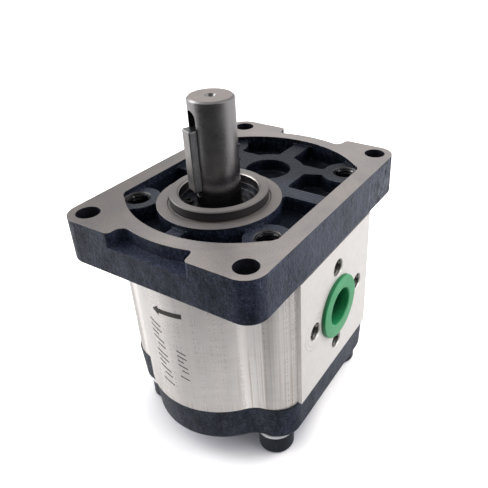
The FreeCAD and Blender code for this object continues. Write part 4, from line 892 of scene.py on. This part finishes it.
flat = wn("ShaderNodeVectorMath", operation="MULTIPLY")
t.links.new(tcw.outputs["Generated"], flat.inputs[0])
flat.inputs[1].default_value = (1, 1, 0)
norm = wn("ShaderNodeVectorMath", operation="NORMALIZE")
t.links.new(flat.outputs[0], norm.inputs[0])
sepn = wn("ShaderNodeSeparateXYZ")
t.links.new(tcw.outputs["Generated"], sepn.inputs[0])
up = sepn.outputs[2]
front = wdot(norm.outputs[0], (0.51, -0.86, 0.0))
right = wdot(norm.outputs[0], (0.86, 0.51, 0.0))
# dark towards the viewer, full strength behind; a bright strip on the right, a softer one on the left
dark = wstep(front, -0.05, 0.80, WORLD_SIDE, WORLD_FRONT)
# a little light from in front as well, so that the machined face isn't black from behind
dark = wmath("ADD", dark, wmath("MULTIPLY", wstep(front, -0.05, 0.80, 0.0, 1.0), wstep(up, 0.10, 0.45, 0.0, WORLD_FRONT_HIGH)))
over = wstep(up, 0.72, 0.97, 0.0, 1.0)
mixo = wn("ShaderNodeMix", data_type="FLOAT")
wput(mixo.inputs[0], over), wput(mixo.inputs[2], dark), wput(mixo.inputs[3], WORLD_TOP)
strip = wmath("MULTIPLY", wmath("MULTIPLY", wstep(right, 0.78, 0.97, 0.0, 1.0), wstep(up, 0.80, 0.45, 0.0, 1.0)), STRIP_RIGHT)
lstrip = wmath("MULTIPLY", wmath("MULTIPLY", wstep(right, -0.72, -0.95, 0.0, 1.0), wstep(up, 0.85, 0.55, 0.0, 1.0)), STRIP_LEFT)
wput(bg.inputs[1], wmath("ADD", mixo.outputs[0], wmath("ADD", strip, lstrip)))
bg.inputs[0].default_value = (1.0, 0.985, 0.970, 1)


def area(name, loc, target, size_x, size_y, power, color=(1, 1, 1), glossy=True):
    li = bpy.data.lights.new(name, "AREA")
    li.shape = "RECTANGLE"
    li.size, li.size_y = size_x, size_y
    li.energy = power
    li.color = color
    o = bpy.data.objects.new(name, li)
    scene.collection.objects.link(o)
    o.location = loc
    o.rotation_mode = "QUATERNION"
    o.rotation_quaternion = (Vector(target) - Vector(loc)).to_track_quat("-Z", "Y")
    o.visible_camera = False
    o.visible_glossy = glossy
    return o


area("soft_right_back", (0.55, 0.45, 0.62), (0, 0.02, -0.05), 0.5, 0.5, 3.2, (1.0, 0.985, 0.97), glossy=False)
area("soft_left", (-0.62, -0.22, 0.30), (0, 0.02, -0.05), 0.35, 0.6, 2.8, (1.0, 0.99, 0.98))
area("soft_fill", (0.30, -0.80, 0.55), (0, 0.0, -0.05), 0.7, 0.7, FILL, (1.0, 0.99, 0.985), glossy=False)
area("soft_right", (0.75, 0.05, 0.10), (0, 0.02, -0.05), 0.30, 0.5, 1.5, (1.0, 0.985, 0.97))

# ------------------------------------------------------------------ camera
cam_data = bpy.data.cameras.new("camera")
cam = bpy.data.objects.new("camera", cam_data)
scene.collection.objects.link(cam)
scene.camera = cam
cam_data.sensor_width = 36.0
cam_data.lens = 40.9480
cam_data.clip_start, cam_data.clip_end = 0.005, 20.0
R = Vector((0.86362251, 0.50398831, -0.01232684))
U = Vector((-0.24507823, 0.44107682, 0.8633585))
F = Vector((-0.44055967, 0.74259479, -0.50444043))
CAM_AT = Vector((128.29670, -155.69539, 104.99060)) / 1000.0
rot = Matrix((R, U, -F)).transposed()
cam.matrix_world = Matrix.Translation(CAM_AT) @ rot.to_4x4()


def shift_only_here(path, value):
    """the lens shift that frames the main view, and none once the camera is moved for another view"""
    fc = cam_data.driver_add(path)
    d = fc.driver
    d.type = "SCRIPTED"
    v = d.variables.new()
    v.name = "cx"
    v.type = "TRANSFORMS"
    v.targets[0].id = cam
    v.targets[0].transform_type = "LOC_X"
    v.targets[0].transform_space = "WORLD_SPACE"
    d.expression = "%.6f if abs(cx - %.6f) < 0.0002 else 0" % (value, CAM_AT.x)


shift_only_here("shift_x", -0.107075)
shift_only_here("shift_y", -0.047912)

scene.view_settings.view_transform = "Standard"
scene.view_settings.look = "None"
scene.view_settings.exposure = 0.0
scene.view_settings.gamma = 1.0

lo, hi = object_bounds()
size["finished"] = {"low": list(lo), "high": list(hi)}
